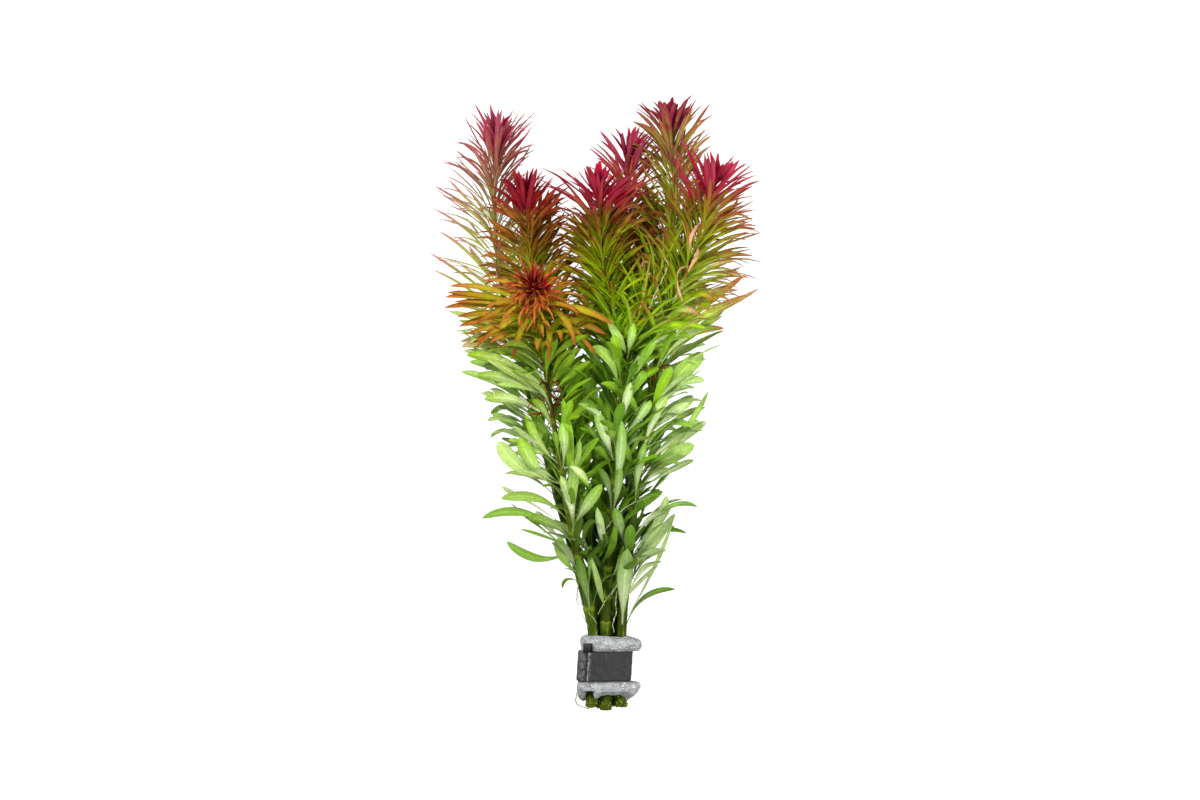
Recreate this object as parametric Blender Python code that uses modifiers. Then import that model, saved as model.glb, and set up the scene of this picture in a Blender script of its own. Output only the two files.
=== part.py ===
"""A cut and tied bunch of a red-tipped aquarium stem plant, lying on its back.

Seven leafy shoots are bound at their cut ends by a foam wrap and a strip of soft lead. +Y runs from
the cut ends to the growing tips, +X to the right and +Z up from the surface that the bunch lies on.
The tables below are in millimetres in the layout's own frame, and the whole bunch is then moved so
that the origin is under its middle, on the surface.
"""

import math
import random
from collections import namedtuple

import bmesh
import bpy
from mathutils import Matrix, Vector
from mathutils.bvhtree import BVHTree

MM = 0.001

# Stems: six-sided, thickest at the cut end
STEM_SIDES = 6
TIP_RADIUS = 0.8
BACK_RADIUS = 1.95
FRONT_RADIUS = 2.2
STEM_TAPER = 0.6
NODE_HEIGHT = 1.3
YOUNG_NODE_HEIGHT = 0.9
YOUNG_NODES_WITHIN = 6.0
LONGEST_LENGTH = 15.0
PIECE_GAP = 0.3

# Whorls: close together at the tip and further apart down the stem
FIRST_WHORL = 1.0
WHORL_SPACING = 2.4
WHORL_GROWTH = 0.075
WIDEST_SPACING = 13.5
CROWN_WHORLS = 5
SPIKE_WHORLS = 3
KEPT_SPACING = 11.3
BARE_BELOW_Y = -96.0

# How leaves grow: their length and width, and their lean from the stem at the joint and at the tip
Habit = namedtuple("Habit", "length width start end")
BUD = Habit(15.0, 2.5, 7, 14)
YOUNG = Habit(25.0, 2.4, 34, 58)
NARROW = Habit(33.0, 2.1, 44, 80)
BROAD = Habit(31.0, 6.0, 30, 62)

# Distances from the growing point over which a habit turns into the next, and the height of the last turn
BUD_TO_YOUNG = (0, 14)
YOUNG_TO_NARROW = (10, 60)
NARROW_ABOVE_Y = 34.0
BROAD_BELOW_Y = 4.0

NARROW_COUNT = 6
BROAD_COUNT = 4
LEAF_THICKNESS = 0.55
LEAF_STEPS = 8

# How far single leaves stray from their habit: angles in degrees, and shares of length and width
TURN_SPREAD = 9
START_SPREAD = 5
END_SPREAD = 10
ROLL_SPREAD = 24
LENGTH_SPREAD = (0.86, 1.08)
WIDTH_SPREAD = (0.85, 1.15)

# Clearance that two leaves keep, on each side of a leaf
CLEARANCE = 0.16

# Lead strip: its place and size, the bends at its corners, and where it starts and ends on top
STRIP_TOP_Y = -113.7
STRIP_FOOT_Y = -128.2
STRIP_THICKNESS = 1.0
STRIP_LEFT_X = -8.6
STRIP_RIGHT_X = 16.4
STRIP_HEIGHT = 16.7
STRIP_SKEW = 0.06
STRIP_BEND = 2.6
STRIP_BEND_STEPS = 4
STRIP_LAP_GAP = 0.4
STRIP_START_X = 1.5
STRIP_LAP_X = 3.0
STRIP_END_X = -3.9

# Foam wrap: each ring of its outside, as y and its left, right, lowest and highest reach
WRAP_TOP_Y = -105.6
WRAP_FOOT_Y = -136.9
WRAP_SIDES = 20
WRAP_ROUNDNESS = 3.2
WRAP_LOWEST = 0.25
STRIP_INSIDE = STRIP_THICKNESS + 0.3
SQUEEZED = (
    STRIP_LEFT_X + STRIP_INSIDE, STRIP_RIGHT_X - STRIP_INSIDE, STRIP_INSIDE,
    STRIP_HEIGHT - 2 * STRIP_INSIDE,
)
WRAP_RINGS = (
    (WRAP_TOP_Y, -5.2, 16.0, 2.2, 14.4),
    (WRAP_TOP_Y - 2.4, -6.8, 20.0, 0.5, 17.2),
    (WRAP_TOP_Y - 6.0, -6.9, 20.4, 0.3, 17.6),
    (STRIP_TOP_Y, *SQUEEZED),
    (STRIP_FOOT_Y, *SQUEEZED),
    (WRAP_FOOT_Y + 6.4, -8.3, 20.4, 0.3, 17.6),
    (WRAP_FOOT_Y + 2.4, -7.6, 19.4, 0.5, 16.8),
    (WRAP_FOOT_Y, -5.6, 15.8, 2.2, 14.2),
)
HOLE_CENTRE = (5.2, 8.2)
HOLE_HALF = (9.0, 4.75)
HOLE_ROUNDNESS = 6
HOLE_DEEPER = 0.8

# Edges sharper than this stay sharp when a piece is shaded smooth
SHARP_ANGLE = 65

# Each shoot's path from its cut end to its growing point, as x, y and z. Then its radius, the share of
# the usual length that its leaves have, the turn of its lower leaves, and how far its whorls open wider.
Shoot = namedtuple("Shoot", "name path radius reach turn opening")
SHOOTS = (
    Shoot(
        "1",
        (
            (-1.2, -137, 5.8), (-1.2, -118, 5.8), (-1.7, -103, 6.1), (-7, -80, 7), (-18, -40, 10),
            (-29, 0, 13), (-38, 30, 15), (-43, 52, 16), (-46, 80, 16), (-46, 102, 16), (-44.4, 122, 17),
        ),
        BACK_RADIUS, 1.04, 10, 0,
    ),
    Shoot(
        "2",
        (
            (-1.0, -140, 10.3), (-1.0, -118, 10.3), (-1.6, -103, 10.9), (-5, -82, 14.5),
            (-10.5, -59, 20), (-16, -27, 28), (-20.5, 0, 34.5), (-24, 22, 39), (-26, 35, 43),
            (-27, 44, 48), (-27.2, 49.5, 56.5),
        ),
        FRONT_RADIUS, 1.05, 0, 20,
    ),
    Shoot(
        "3",
        (
            (2.95, -138, 5.8), (2.95, -118, 5.8), (2.6, -103, 6.1), (0, -80, 7.2), (-6, -45, 11),
            (-13, -5, 16), (-20, 25, 21), (-26, 47, 25), (-29.5, 66, 28), (-32.3, 93, 31),
        ),
        BACK_RADIUS, 0.85, 25, 0,
    ),
    Shoot(
        "4",
        (
            (7.1, -137, 5.8), (7.1, -118, 5.8), (7.1, -103, 6.2), (7.2, -80, 8), (7.3, -45, 13),
            (8.3, -5, 20), (8.3, 28, 27), (6.3, 48, 31), (3, 63, 33.5), (1.2, 96.5, 36),
        ),
        BACK_RADIUS, 0.92, 40, 0,
    ),
    Shoot(
        "5",
        (
            (11.25, -138, 5.8), (11.25, -118, 5.8), (11.4, -103, 5.9), (12.6, -80, 5.8), (15, -45, 6.5),
            (16.5, -5, 8.5), (15, 40, 11), (13.5, 70, 13.5), (14.9, 111.5, 15),
        ),
        BACK_RADIUS, 0.85, 5, 0,
    ),
    Shoot(
        "6",
        (
            (4.4, -141.5, 10.3), (4.4, -118, 10.3), (4.4, -103, 10.9), (5, -85, 13), (6, -60, 18),
            (8, -35, 24), (11, -5, 29), (14.5, 22, 31), (20.5, 40, 29), (28, 54, 26), (33.5, 72, 22),
            (35.4, 95, 19), (33.6, 127, 18),
        ),
        FRONT_RADIUS, 0.9, 0, 0,
    ),
    Shoot(
        "7",
        (
            (11.5, -140, 10.3), (11.5, -118, 10.3), (11.8, -103, 10.7), (12.8, -88, 12), (15, -68, 15),
            (17.5, -45, 19), (21, -18, 24), (25.2, 5, 27), (31, 37, 30), (38.6, 54, 31.5),
            (44.5, 68, 32.5), (53, 100, 34),
        ),
        FRONT_RADIUS, 1.06, 20, 0,
    ),
)

# Large leaves that show singly: shoot, y of the joint on the stem, tip, bow out of line, and width
SingleLeaf = namedtuple("SingleLeaf", "shoot joint_y tip bow width")
SINGLE_LEAVES = (
    SingleLeaf("2", -59, (-52.0, -52.7, 17), (0, 7, 3), 5.0),
    SingleLeaf("2", -66, (-41.0, -63.5, 8), (0, -6, 2), 4.6),
    SingleLeaf("2", -50, (-45.5, -43.0, 24), (2, 5, 4), 5.0),
    SingleLeaf("2", -36, (-45.0, -17.5, 28), (-3, -3, 4), 6.4),
    SingleLeaf("2", -33, (-37.0, -6.5, 38), (-2, -4, 3), 6.6),
    SingleLeaf("2", -42, (-14.8, 2.0, 41), (2, -3, 4), 6.0),
    SingleLeaf("2", -60, (-7.0, -16.0, 36), (-3, -5, 5), 6.2),
    SingleLeaf("7", -101, (14.2, -66.0, 27), (-0.5, -3, 4), 7.2),
    SingleLeaf("7", -102, (36.3, -85.0, 15), (-3, 5, 0), 3.2),
    SingleLeaf("7", -63, (44.0, -48.0, 22), (1, 8, 4), 4.0),
    SingleLeaf("7", -33, (43.5, -16.0, 26), (-2, 2, 3), 5.4),
    SingleLeaf("7", -30, (51.0, 5.5, 27), (1, -4, 2), 4.0),
    SingleLeaf("7", -8, (48.5, 22.5, 33), (-2, 2, 4), 8.2),
    SingleLeaf("6", -65, (0.5, -47.0, 38), (0, -4, 5), 5.6),
    SingleLeaf("6", -40, (11.5, -8.0, 42), (1, -3, 5), 6.4),
    SingleLeaf("6", -92, (-2.0, -70.0, 28), (1, -4, 3), 3.4),
)
FRONT_LEAF_SHOOTS = ("2", "4", "6", "7")
INNER_SHOOTS = ("3", "4", "5")
MOST_SINGLES = 43

# Changes of height tried in turn on a large leaf's tip, where it would cross another leaf
TIP_RISES = (0, 4, -4, 8, -8, 12, -12)

Leaf = namedtuple("Leaf", "turn length width start end roll")
Frame = namedtuple("Frame", "point heading side upper")


def blend(low, high, value):
    """0 below low, 1 above high and a smooth step between them."""
    part = min(max((value - low) / (high - low), 0.0), 1.0)
    return part * part * (3 - 2 * part)


def between(first, last, part):
    return first + (last - first) * part


class Route:
    """A smooth curve through a shoot's path, read by the distance back from its growing point."""

    SPAN_SAMPLES = 10

    def __init__(self, path):
        controls = [Vector(point) for point in path]
        ends = [controls[0] * 2 - controls[1]] + controls + [controls[-1] * 2 - controls[-2]]
        self.points = []
        for before, start, end, after in zip(ends, ends[1:], ends[2:], ends[3:]):
            for index in range(self.SPAN_SAMPLES):
                t = index / self.SPAN_SAMPLES
                linear = (end - before) * t
                square = (before * 2 - start * 5 + end * 4 - after) * t**2
                cube = (start * 3 - before - end * 3 + after) * t**3
                self.points.append((start * 2 + linear + square + cube) * 0.5)
        self.points.append(controls[-1])
        self.points.reverse()
        self.reach = [0.0]
        for point, following in zip(self.points, self.points[1:]):
            self.reach.append(self.reach[-1] + (following - point).length)

    @property
    def length(self):
        return self.reach[-1]

    def at(self, distance):
        """The point there, with the directions along the stem, up and to the right."""
        index = 0
        while index < len(self.reach) - 2 and self.reach[index + 1] < distance:
            index += 1
        part = (distance - self.reach[index]) / (self.reach[index + 1] - self.reach[index])
        point = self.points[index].lerp(self.points[index + 1], part)
        low, high = max(index - 1, 0), min(index + 2, len(self.points) - 1)
        along = (self.points[low] - self.points[high]).normalized()
        up = Vector((0, 0, 1))
        up = (up - along * up.dot(along)).normalized()
        return point, along, up, along.cross(up)

    def distance_at_y(self, y):
        """The distance from the growing point down to this height."""
        for point, reach in zip(self.points, self.reach):
            if point.y < y:
                return reach
        return self.length


def stem_radius(shoot, route, distance):
    return between(TIP_RADIUS, shoot.radius, (distance / route.length) ** STEM_TAPER)


def whorl_distances(route):
    """Distances from the growing point at which leaves grow."""
    found = []
    distance = FIRST_WHORL
    while distance < route.distance_at_y(BARE_BELOW_Y):
        found.append(distance)
        distance += min(WHORL_SPACING + WHORL_GROWTH * distance, WIDEST_SPACING)
    return found


def kept_whorls(shoot, route):
    """The whorls below the growing tip that are made here: they stand no closer than a set spacing."""
    distances = whorl_distances(route)
    last = distances[CROWN_WHORLS - 1]
    kept = []
    for whorl in range(CROWN_WHORLS, len(distances)):
        inner = shoot.name in INNER_SHOOTS and breadth_at(route.at(distances[whorl])[0].y) > 0.5
        if distances[whorl] - last >= KEPT_SPACING * (2 if inner else 1) or not kept:
            kept.append(whorl)
            last = distances[whorl]
    return kept


def breadth_at(y):
    """0 where leaves are narrow, and 1 where they are broad."""
    return blend(-NARROW_ABOVE_Y, -BROAD_BELOW_Y, -y)


def mixed(first, last, part):
    return Habit(*(between(*pair, part) for pair in zip(first, last)))


def leaf_plan(shoot, whorl, index, distance, y):
    """How one leaf of a whorl stands, with its turn round the stem counted from straight up."""
    draw = random.Random(int(shoot.name) * 10007 + whorl * 101 + index)
    broad = breadth_at(y)
    count = BROAD_COUNT if broad > 0.5 else NARROW_COUNT
    turn = 360 / count * (index + 0.5 * (whorl % 2)) + shoot.turn * broad
    turn += draw.uniform(-TURN_SPREAD, TURN_SPREAD) * (1 + broad)
    grown = blend(*BUD_TO_YOUNG, distance)
    aged = blend(*YOUNG_TO_NARROW, distance)
    habit = mixed(mixed(mixed(BUD, YOUNG, grown), NARROW, aged), BROAD, broad)
    length = habit.length * shoot.reach * draw.uniform(*LENGTH_SPREAD)
    width = habit.width * draw.uniform(*WIDTH_SPREAD)
    opening = shoot.opening * grown * (1 - broad)
    start = habit.start + opening + draw.uniform(-START_SPREAD, START_SPREAD)
    end = habit.end + opening + draw.uniform(-END_SPREAD, END_SPREAD)
    roll = draw.uniform(-ROLL_SPREAD, ROLL_SPREAD)
    return Leaf(turn, length, width, start, end, roll)


def lay_leaf(base, along, out, leaf):
    """Frames at equal steps down a leaf: it bends away from its stem, and lies down on the ground."""
    side = along.cross(out).normalized()
    step = leaf.length / LEAF_STEPS
    lowest = LEAF_THICKNESS / 2
    point = base.copy()
    frames = []
    for index in range(LEAF_STEPS + 1):
        part = index / LEAF_STEPS
        angle = math.radians(between(leaf.start, leaf.end, part))
        heading = along * math.cos(angle) + out * math.sin(angle)
        if point.z + heading.z * step < lowest:
            heading.z = max((lowest - point.z) / step, heading.z)
            level = math.sqrt(1 - min(heading.z**2, 0.99)) / max(heading.xy.length, 0.01)
            heading.x *= level
            heading.y *= level
        heading.normalize()
        upper = Matrix.Rotation(math.radians(leaf.roll * part), 3, heading) @ heading.cross(side)
        lying = 1 - blend(lowest, lowest + leaf.width, point.z)
        upper = upper.lerp(Vector((0, 0, 1 if upper.z >= 0 else -1)), lying).normalized()
        across = upper.cross(heading).normalized()
        frames.append(Frame(point.copy(), heading, across, heading.cross(across)))
        point = point + heading * step
    return frames


def lay_single_leaf(base, tip, bow):
    """Frames down a leaf that arches from its joint to a chosen tip, its upper face turned up."""
    middle = (base + tip) / 2 + bow * 2
    points = []
    for index in range(LEAF_STEPS + 1):
        t = index / LEAF_STEPS
        points.append(base * (1 - t) ** 2 + middle * (2 * t * (1 - t)) + tip * t**2)
    frames = []
    for index, point in enumerate(points):
        low, high = max(index - 1, 0), min(index + 1, LEAF_STEPS)
        heading = (points[high] - points[low]).normalized()
        across = heading.cross(Vector((0, 0, 1))).normalized()
        frames.append(Frame(point, heading, across, across.cross(heading)))
    return frames


def corner(frame, across, above, half_width, half_thickness):
    """A corner of the leaf's section, lifted where it would go into the ground."""
    edge = frame.point + frame.side * (across * half_width)
    thick = frame.upper * half_thickness
    lift = max(0, -(edge - thick).z, -(edge + thick).z)
    return edge + thick * above + Vector((0, 0, lift))


Section = namedtuple("Section", "frame half_width half_thickness")

# Where a leaf's sections are, in steps from the joint, with the share of its width there
NARROW_SECTIONS = ((4, 1.0),)
BROAD_SECTIONS = ((5, 1.0),)
SINGLE_SECTIONS = ((0, 0.3), (3, 0.5), (5, 1.0), (7, 0.72))


def sections_of(frames, width, stops):
    return [Section(frames[step], width * share / 2, LEAF_THICKNESS / 2) for step, share in stops]


def leaf_shell(sections, tip, margin):
    """Corner points and faces round a leaf, a margin outside it."""
    signs = ((-1, -1), (1, -1), (1, 1), (-1, 1))
    points = []
    for section in sections:
        for across, above in signs:
            grown = (section.half_width + margin, section.half_thickness + margin)
            points.append(corner(section.frame, across, above, *grown))
    faces = [(3, 2, 1, 0)]
    for start in range(0, len(points) - 4, 4):
        for index in range(4):
            following = (index + 1) % 4
            faces.append((start + index, start + following, start + following + 4, start + index + 4))
    end = len(points) - 4
    points.append(tip + sections[-1].frame.heading * margin)
    faces += [(end + index, end + (index + 1) % 4, end + 4) for index in range(4)]
    return points, faces


class Placed:
    """What already has its place, so that no two pieces run through each other."""

    def __init__(self):
        self.shells = []

    @staticmethod
    def box(points):
        low = [min(point[axis] for point in points) for axis in range(3)]
        high = [max(point[axis] for point in points) for axis in range(3)]
        return low, high

    def add(self, owner, shell):
        points, faces = shell
        low, high = self.box(points)
        self.shells.append((owner, low, high, BVHTree.FromPolygons(points, faces)))

    def meets(self, shell, owners=(), wanted=False):
        """Whether a shell crosses one that these owners placed, if they are wanted, or any other's."""
        points, faces = shell
        low, high = self.box(points)
        tree = BVHTree.FromPolygons(points, faces)
        for owner, other_low, other_high, other in self.shells:
            if (owner in owners) != wanted:
                continue
            if any(low[axis] > other_high[axis] or high[axis] < other_low[axis] for axis in range(3)):
                continue
            if tree.overlap(other):
                return True
        return False


# Changes tried in turn on a leaf that would cross another: turn, bend, and share of its length
TRIES = (
    (0, 0, 1.0), (9, 0, 1.0), (-9, 0, 1.0), (0, -9, 0.95), (18, -5, 0.95), (-18, -5, 0.95),
    (0, 12, 0.9), (24, 8, 0.85), (-24, 8, 0.85), (0, -14, 0.8), (12, 0, 0.7), (-12, 0, 0.7),
    (0, 0, 0.6), (20, -10, 0.55), (-20, -10, 0.55),
)


def free_leaf(placed, name, shoot, place, leaf, stops, base=None):
    """The sections and tip of a leaf clear of all others, or None where there is no room.

    A leaf that is fused to its stem starts at a face there. One without a base stands a gap away.
    """
    point, along, up, right = place
    own = (name, "tube_" + shoot.name)
    for turn, bend, share in TRIES:
        angle = math.radians(leaf.turn + turn)
        out = up * math.cos(angle) + right * math.sin(angle)
        tried = leaf._replace(length=leaf.length * share, end=leaf.end + bend, start=leaf.start + bend / 2)
        lift = shoot.radius + PIECE_GAP + LEAF_THICKNESS / 2
        frames = lay_leaf(base or point + out * lift, along, out, tried)
        sections = sections_of(frames, leaf.width, stops)
        tip = frames[-1].point
        if base is None:
            shell, reach = leaf_shell(sections, tip, 0), leaf_shell(sections, tip, CLEARANCE)
            clear = not placed.meets(reach)
        else:
            foot = Section(Frame(base, out, along.cross(out), along), shoot.radius / 2, NODE_HEIGHT / 2)
            shell = leaf_shell([foot] + sections, tip, 0)
            clear = not placed.meets(leaf_shell([foot] + sections, tip, CLEARANCE), own)
            clear = clear and not placed.meets(leaf_shell(sections, tip, CLEARANCE / 2), own, wanted=True)
        if clear:
            placed.add(name, shell)
            return sections, tip
    return None


def fit_face(face, axes, section):
    """Moves a four-sided face on to a leaf's section, each corner to the one on its side."""
    centre = face.calc_center_median()
    places = []
    for vert in face.verts:
        across, above = (1 if (vert.co - centre).dot(axis) > 0 else -1 for axis in axes)
        places.append(corner(section.frame, across, above, section.half_width, section.half_thickness))
    for vert, place in zip(face.verts, places):
        vert.co = place


def grow_leaf(bm, face, axes, sections, tip):
    """Draws a leaf out of a face: through each section, and then to its point."""
    for section in sections:
        face = bmesh.ops.extrude_discrete_faces(bm, faces=[face])["faces"][0]
        fit_face(face, axes, section)
        axes = (section.frame.side, section.frame.upper)
    bmesh.ops.poke(bm, faces=[face])["verts"][0].co = tip


class Tube:
    """A six-sided stem drawn out ring by ring, whose side faces leaves grow from."""

    def __init__(self, shoot, route, distance):
        self.shoot, self.route = shoot, route
        self.bm = bmesh.new()
        size = {"radius1": 1.0, "radius2": 1.0, "depth": 1.0}
        turned = Matrix.Rotation(math.radians(180 / STEM_SIDES), 4, "Z")
        bmesh.ops.create_cone(self.bm, cap_ends=True, segments=STEM_SIDES, matrix=turned, **size)
        self.angles = {vert: math.atan2(vert.co.x, vert.co.y) for vert in self.bm.verts}
        faces = sorted(self.bm.faces, key=lambda face: face.calc_center_median().z)
        self.end = faces[0]
        self.move_end(distance)
        self.end = faces[-1]
        self.move_end(distance - NODE_HEIGHT)

    def move_end(self, distance):
        self.drawn = distance
        point, _, up, right = self.route.at(distance)
        radius = stem_radius(self.shoot, self.route, distance)
        for vert in self.end.verts:
            angle = self.angles[vert]
            vert.co = point + (up * math.cos(angle) + right * math.sin(angle)) * radius

    def draw_to(self, distance):
        """Draws the end on to this distance, and gives the new side faces."""
        before = {vert.co.to_tuple(5): self.angles[vert] for vert in self.end.verts}
        self.end = bmesh.ops.extrude_discrete_faces(self.bm, faces=[self.end])["faces"][0]
        for vert in self.end.verts:
            self.angles[vert] = before[vert.co.to_tuple(5)]
        sides = {face for vert in self.end.verts for face in vert.link_faces} - {self.end}
        self.move_end(distance)
        return list(sides)

    def draw_bare_to(self, distance):
        """Draws the end on in short lengths, so that it follows the stem's bends."""
        lengths = math.ceil((self.drawn - distance) / LONGEST_LENGTH)
        start = self.drawn
        for index in range(lengths):
            self.draw_to(between(start, distance, (index + 1) / lengths))

    def face_towards(self, faces, turn, distance):
        """The side face nearest to this turn round the stem."""
        point, _, up, right = self.route.at(distance)
        angle = math.radians(turn)
        out = up * math.cos(angle) + right * math.sin(angle)
        return max(faces, key=lambda face: (face.calc_center_median() - point).dot(out))


def grow_whorl(tube, placed, name, whorl, distance, skipped=()):
    """One ring of a stem with its leaves fused to it."""
    height = NODE_HEIGHT if distance > YOUNG_NODES_WITHIN else YOUNG_NODE_HEIGHT
    tube.draw_bare_to(distance + height / 2)
    faces = tube.draw_to(distance - height / 2)
    place = tube.route.at(distance)
    broad = breadth_at(place[0].y)
    count = BROAD_COUNT if broad > 0.5 else NARROW_COUNT
    stops = BROAD_SECTIONS if broad > 0.5 else NARROW_SECTIONS
    if whorl < SPIKE_WHORLS:
        stops = ()
    for index in range(count):
        if index in skipped:
            continue
        leaf = leaf_plan(tube.shoot, whorl, index, distance, place[0].y)
        face = tube.face_towards(faces, leaf.turn, distance)
        base = face.calc_center_median()
        if not stops:
            angle = math.radians(leaf.turn)
            out = place[2] * math.cos(angle) + place[3] * math.sin(angle)
            tip = lay_leaf(base, place[1], out, leaf)[-1].point
            found = (), tip
        else:
            found = free_leaf(placed, name, tube.shoot, place, leaf, stops, base)
        if found is None:
            continue
        faces.remove(face)
        side = found[0][0].frame.side if found[0] else None
        grow_leaf(tube.bm, face, (side, place[1]), *found)


def add_object(name, bm, material, parent, collection, origin=None):
    """Makes a named object from a mesh in the layout's millimetres."""
    origin = origin or Vector((0, 0, 0))
    bmesh.ops.recalc_face_normals(bm, faces=bm.faces)
    if bm.calc_volume(signed=True) < 0:
        bmesh.ops.reverse_faces(bm, faces=bm.faces)
    bmesh.ops.translate(bm, verts=bm.verts, vec=-origin)
    bmesh.ops.scale(bm, verts=bm.verts, vec=(MM, MM, MM))
    mesh = bpy.data.meshes.new(name)
    bm.to_mesh(mesh)
    bm.free()
    mesh.shade_smooth()
    mesh.set_sharp_from_angle(angle=math.radians(SHARP_ANGLE))
    mesh.materials.append(material)
    obj = bpy.data.objects.new(name, mesh)
    obj.location = origin * MM
    obj.parent = parent
    collection.objects.link(obj)
    return obj


def make_material(name, colour, roughness, metallic=0.0):
    material = bpy.data.materials.new(name)
    material.use_nodes = True
    shader = material.node_tree.nodes["Principled BSDF"]
    shader.inputs["Base Color"].default_value = (*colour, 1.0)
    shader.inputs["Roughness"].default_value = roughness
    shader.inputs["Metallic"].default_value = metallic
    return material


def squarish(centre, half, power, angle):
    """A point on a rounded oblong, at this angle."""
    cosine, sine = math.cos(angle), math.sin(angle)
    x = centre[0] + half[0] * math.copysign(abs(cosine) ** (2 / power), cosine)
    z = centre[1] + half[1] * math.copysign(abs(sine) ** (2 / power), sine)
    return x, z


def skewed(x, y):
    """The strip was pressed on a little out of square."""
    middle = (STRIP_TOP_Y + STRIP_FOOT_Y) / 2
    return x + STRIP_SKEW * (y - middle)


def foam_wrap():
    """A soft collar, squeezed in the middle and swelling out above and below."""
    turns = [math.tau * index / WRAP_SIDES for index in range(WRAP_SIDES)]
    rings = []
    for y, left, right, low, high in WRAP_RINGS:
        centre, half = ((left + right) / 2, (low + high) / 2), ((right - left) / 2, (high - low) / 2)
        outside = [squarish(centre, half, WRAP_ROUNDNESS, turn) for turn in turns]
        rings.append([Vector((skewed(x, y), y, max(z, WRAP_LOWEST))) for x, z in outside])
    hole = [squarish(HOLE_CENTRE, HOLE_HALF, HOLE_ROUNDNESS, turn) for turn in turns]
    for y in (WRAP_FOOT_Y + HOLE_DEEPER, WRAP_TOP_Y - HOLE_DEEPER):
        rings.append([Vector((x, y, z)) for x, z in hole])
    bm = bmesh.new()
    made = [[bm.verts.new(point) for point in ring] for ring in rings]
    for ring, following in zip(made, made[1:] + made[:1]):
        for index in range(WRAP_SIDES):
            after = (index + 1) % WRAP_SIDES
            bm.faces.new((ring[index], ring[after], following[after], following[index]))
    return bm


def strip_section():
    """The strip's middle line round the bundle, from its covered end to its outer end."""
    half = STRIP_THICKNESS / 2
    left, right = STRIP_LEFT_X + half + STRIP_BEND, STRIP_RIGHT_X - half - STRIP_BEND
    upper = STRIP_HEIGHT - half
    lapped = upper - STRIP_THICKNESS - STRIP_LAP_GAP
    low, high = half + STRIP_BEND, lapped - STRIP_BEND
    points = [Vector((STRIP_START_X, 0, lapped))]
    for x, z, first in ((left, high, 90), (left, low, 180), (right, low, 270), (right, high, 360)):
        for step in range(STRIP_BEND_STEPS + 1):
            angle = math.radians(first + 90 * step / STRIP_BEND_STEPS)
            points.append(Vector((x + STRIP_BEND * math.cos(angle), 0, z + STRIP_BEND * math.sin(angle))))
    points.append(Vector((STRIP_LAP_X, 0, upper)))
    points.append(Vector((STRIP_END_X, 0, upper)))
    return points


def lead_strip(material, parent, collection):
    """A ribbon of soft lead, wound once round the foam with its ends lapped on top."""
    bm = bmesh.new()
    line = [bm.verts.new(point) for point in strip_section()]
    edges = [bm.edges.new(pair) for pair in zip(line, line[1:])]
    for vert in line:
        vert.co.y = STRIP_FOOT_Y
    made = bmesh.ops.extrude_edge_only(bm, edges=edges)["geom"]
    for vert in (item for item in made if isinstance(item, bmesh.types.BMVert)):
        vert.co.y = STRIP_TOP_Y
    for vert in bm.verts:
        vert.co.x = skewed(vert.co.x, vert.co.y)
    origin = Vector((0, (STRIP_TOP_Y + STRIP_FOOT_Y) / 2, 0))
    obj = add_object("lead_strip", bm, material, parent, collection, origin)
    thick = obj.modifiers.new("Thickness", "SOLIDIFY")
    thick.thickness = STRIP_THICKNESS * MM
    thick.offset = 0.0
    thick.use_even_offset = True
    return obj


def tube_shell(shoot, route):
    """Points and faces round a bare stem."""
    rings = math.ceil(route.length / WIDEST_SPACING * 2)
    points, faces = [], []
    for ring in range(rings + 1):
        distance = route.length * ring / rings
        point, _, up, right = route.at(distance)
        radius = stem_radius(shoot, route, distance) + CLEARANCE / 2
        for side in range(STEM_SIDES):
            angle = math.tau * (side + 0.5) / STEM_SIDES
            points.append(point + (up * math.cos(angle) + right * math.sin(angle)) * radius)
    for start in range(0, rings * STEM_SIDES, STEM_SIDES):
        for side in range(STEM_SIDES):
            after = (side + 1) % STEM_SIDES
            faces.append((start + side, start + after, start + after + STEM_SIDES, start + side + STEM_SIDES))
    return points, faces


def single_leaf_object(name, sections, tip, material, parent, collection):
    """A leaf of its own: a block fitted to its first two sections, and drawn on to its point."""
    bm = bmesh.new()
    bmesh.ops.create_cube(bm, size=1.0)
    ends = sorted(bm.faces, key=lambda face: face.calc_center_median().y)
    for face, section in ((ends[0], sections[0]), (ends[-1], sections[1])):
        fit_face(face, (Vector((1, 0, 0)), Vector((0, 0, 1))), section)
    axes = (sections[1].frame.side, sections[1].frame.upper)
    grow_leaf(bm, ends[-1], axes, sections[2:], tip)
    return add_object(name, bm, material, parent, collection, sections[0].frame.point)


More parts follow.
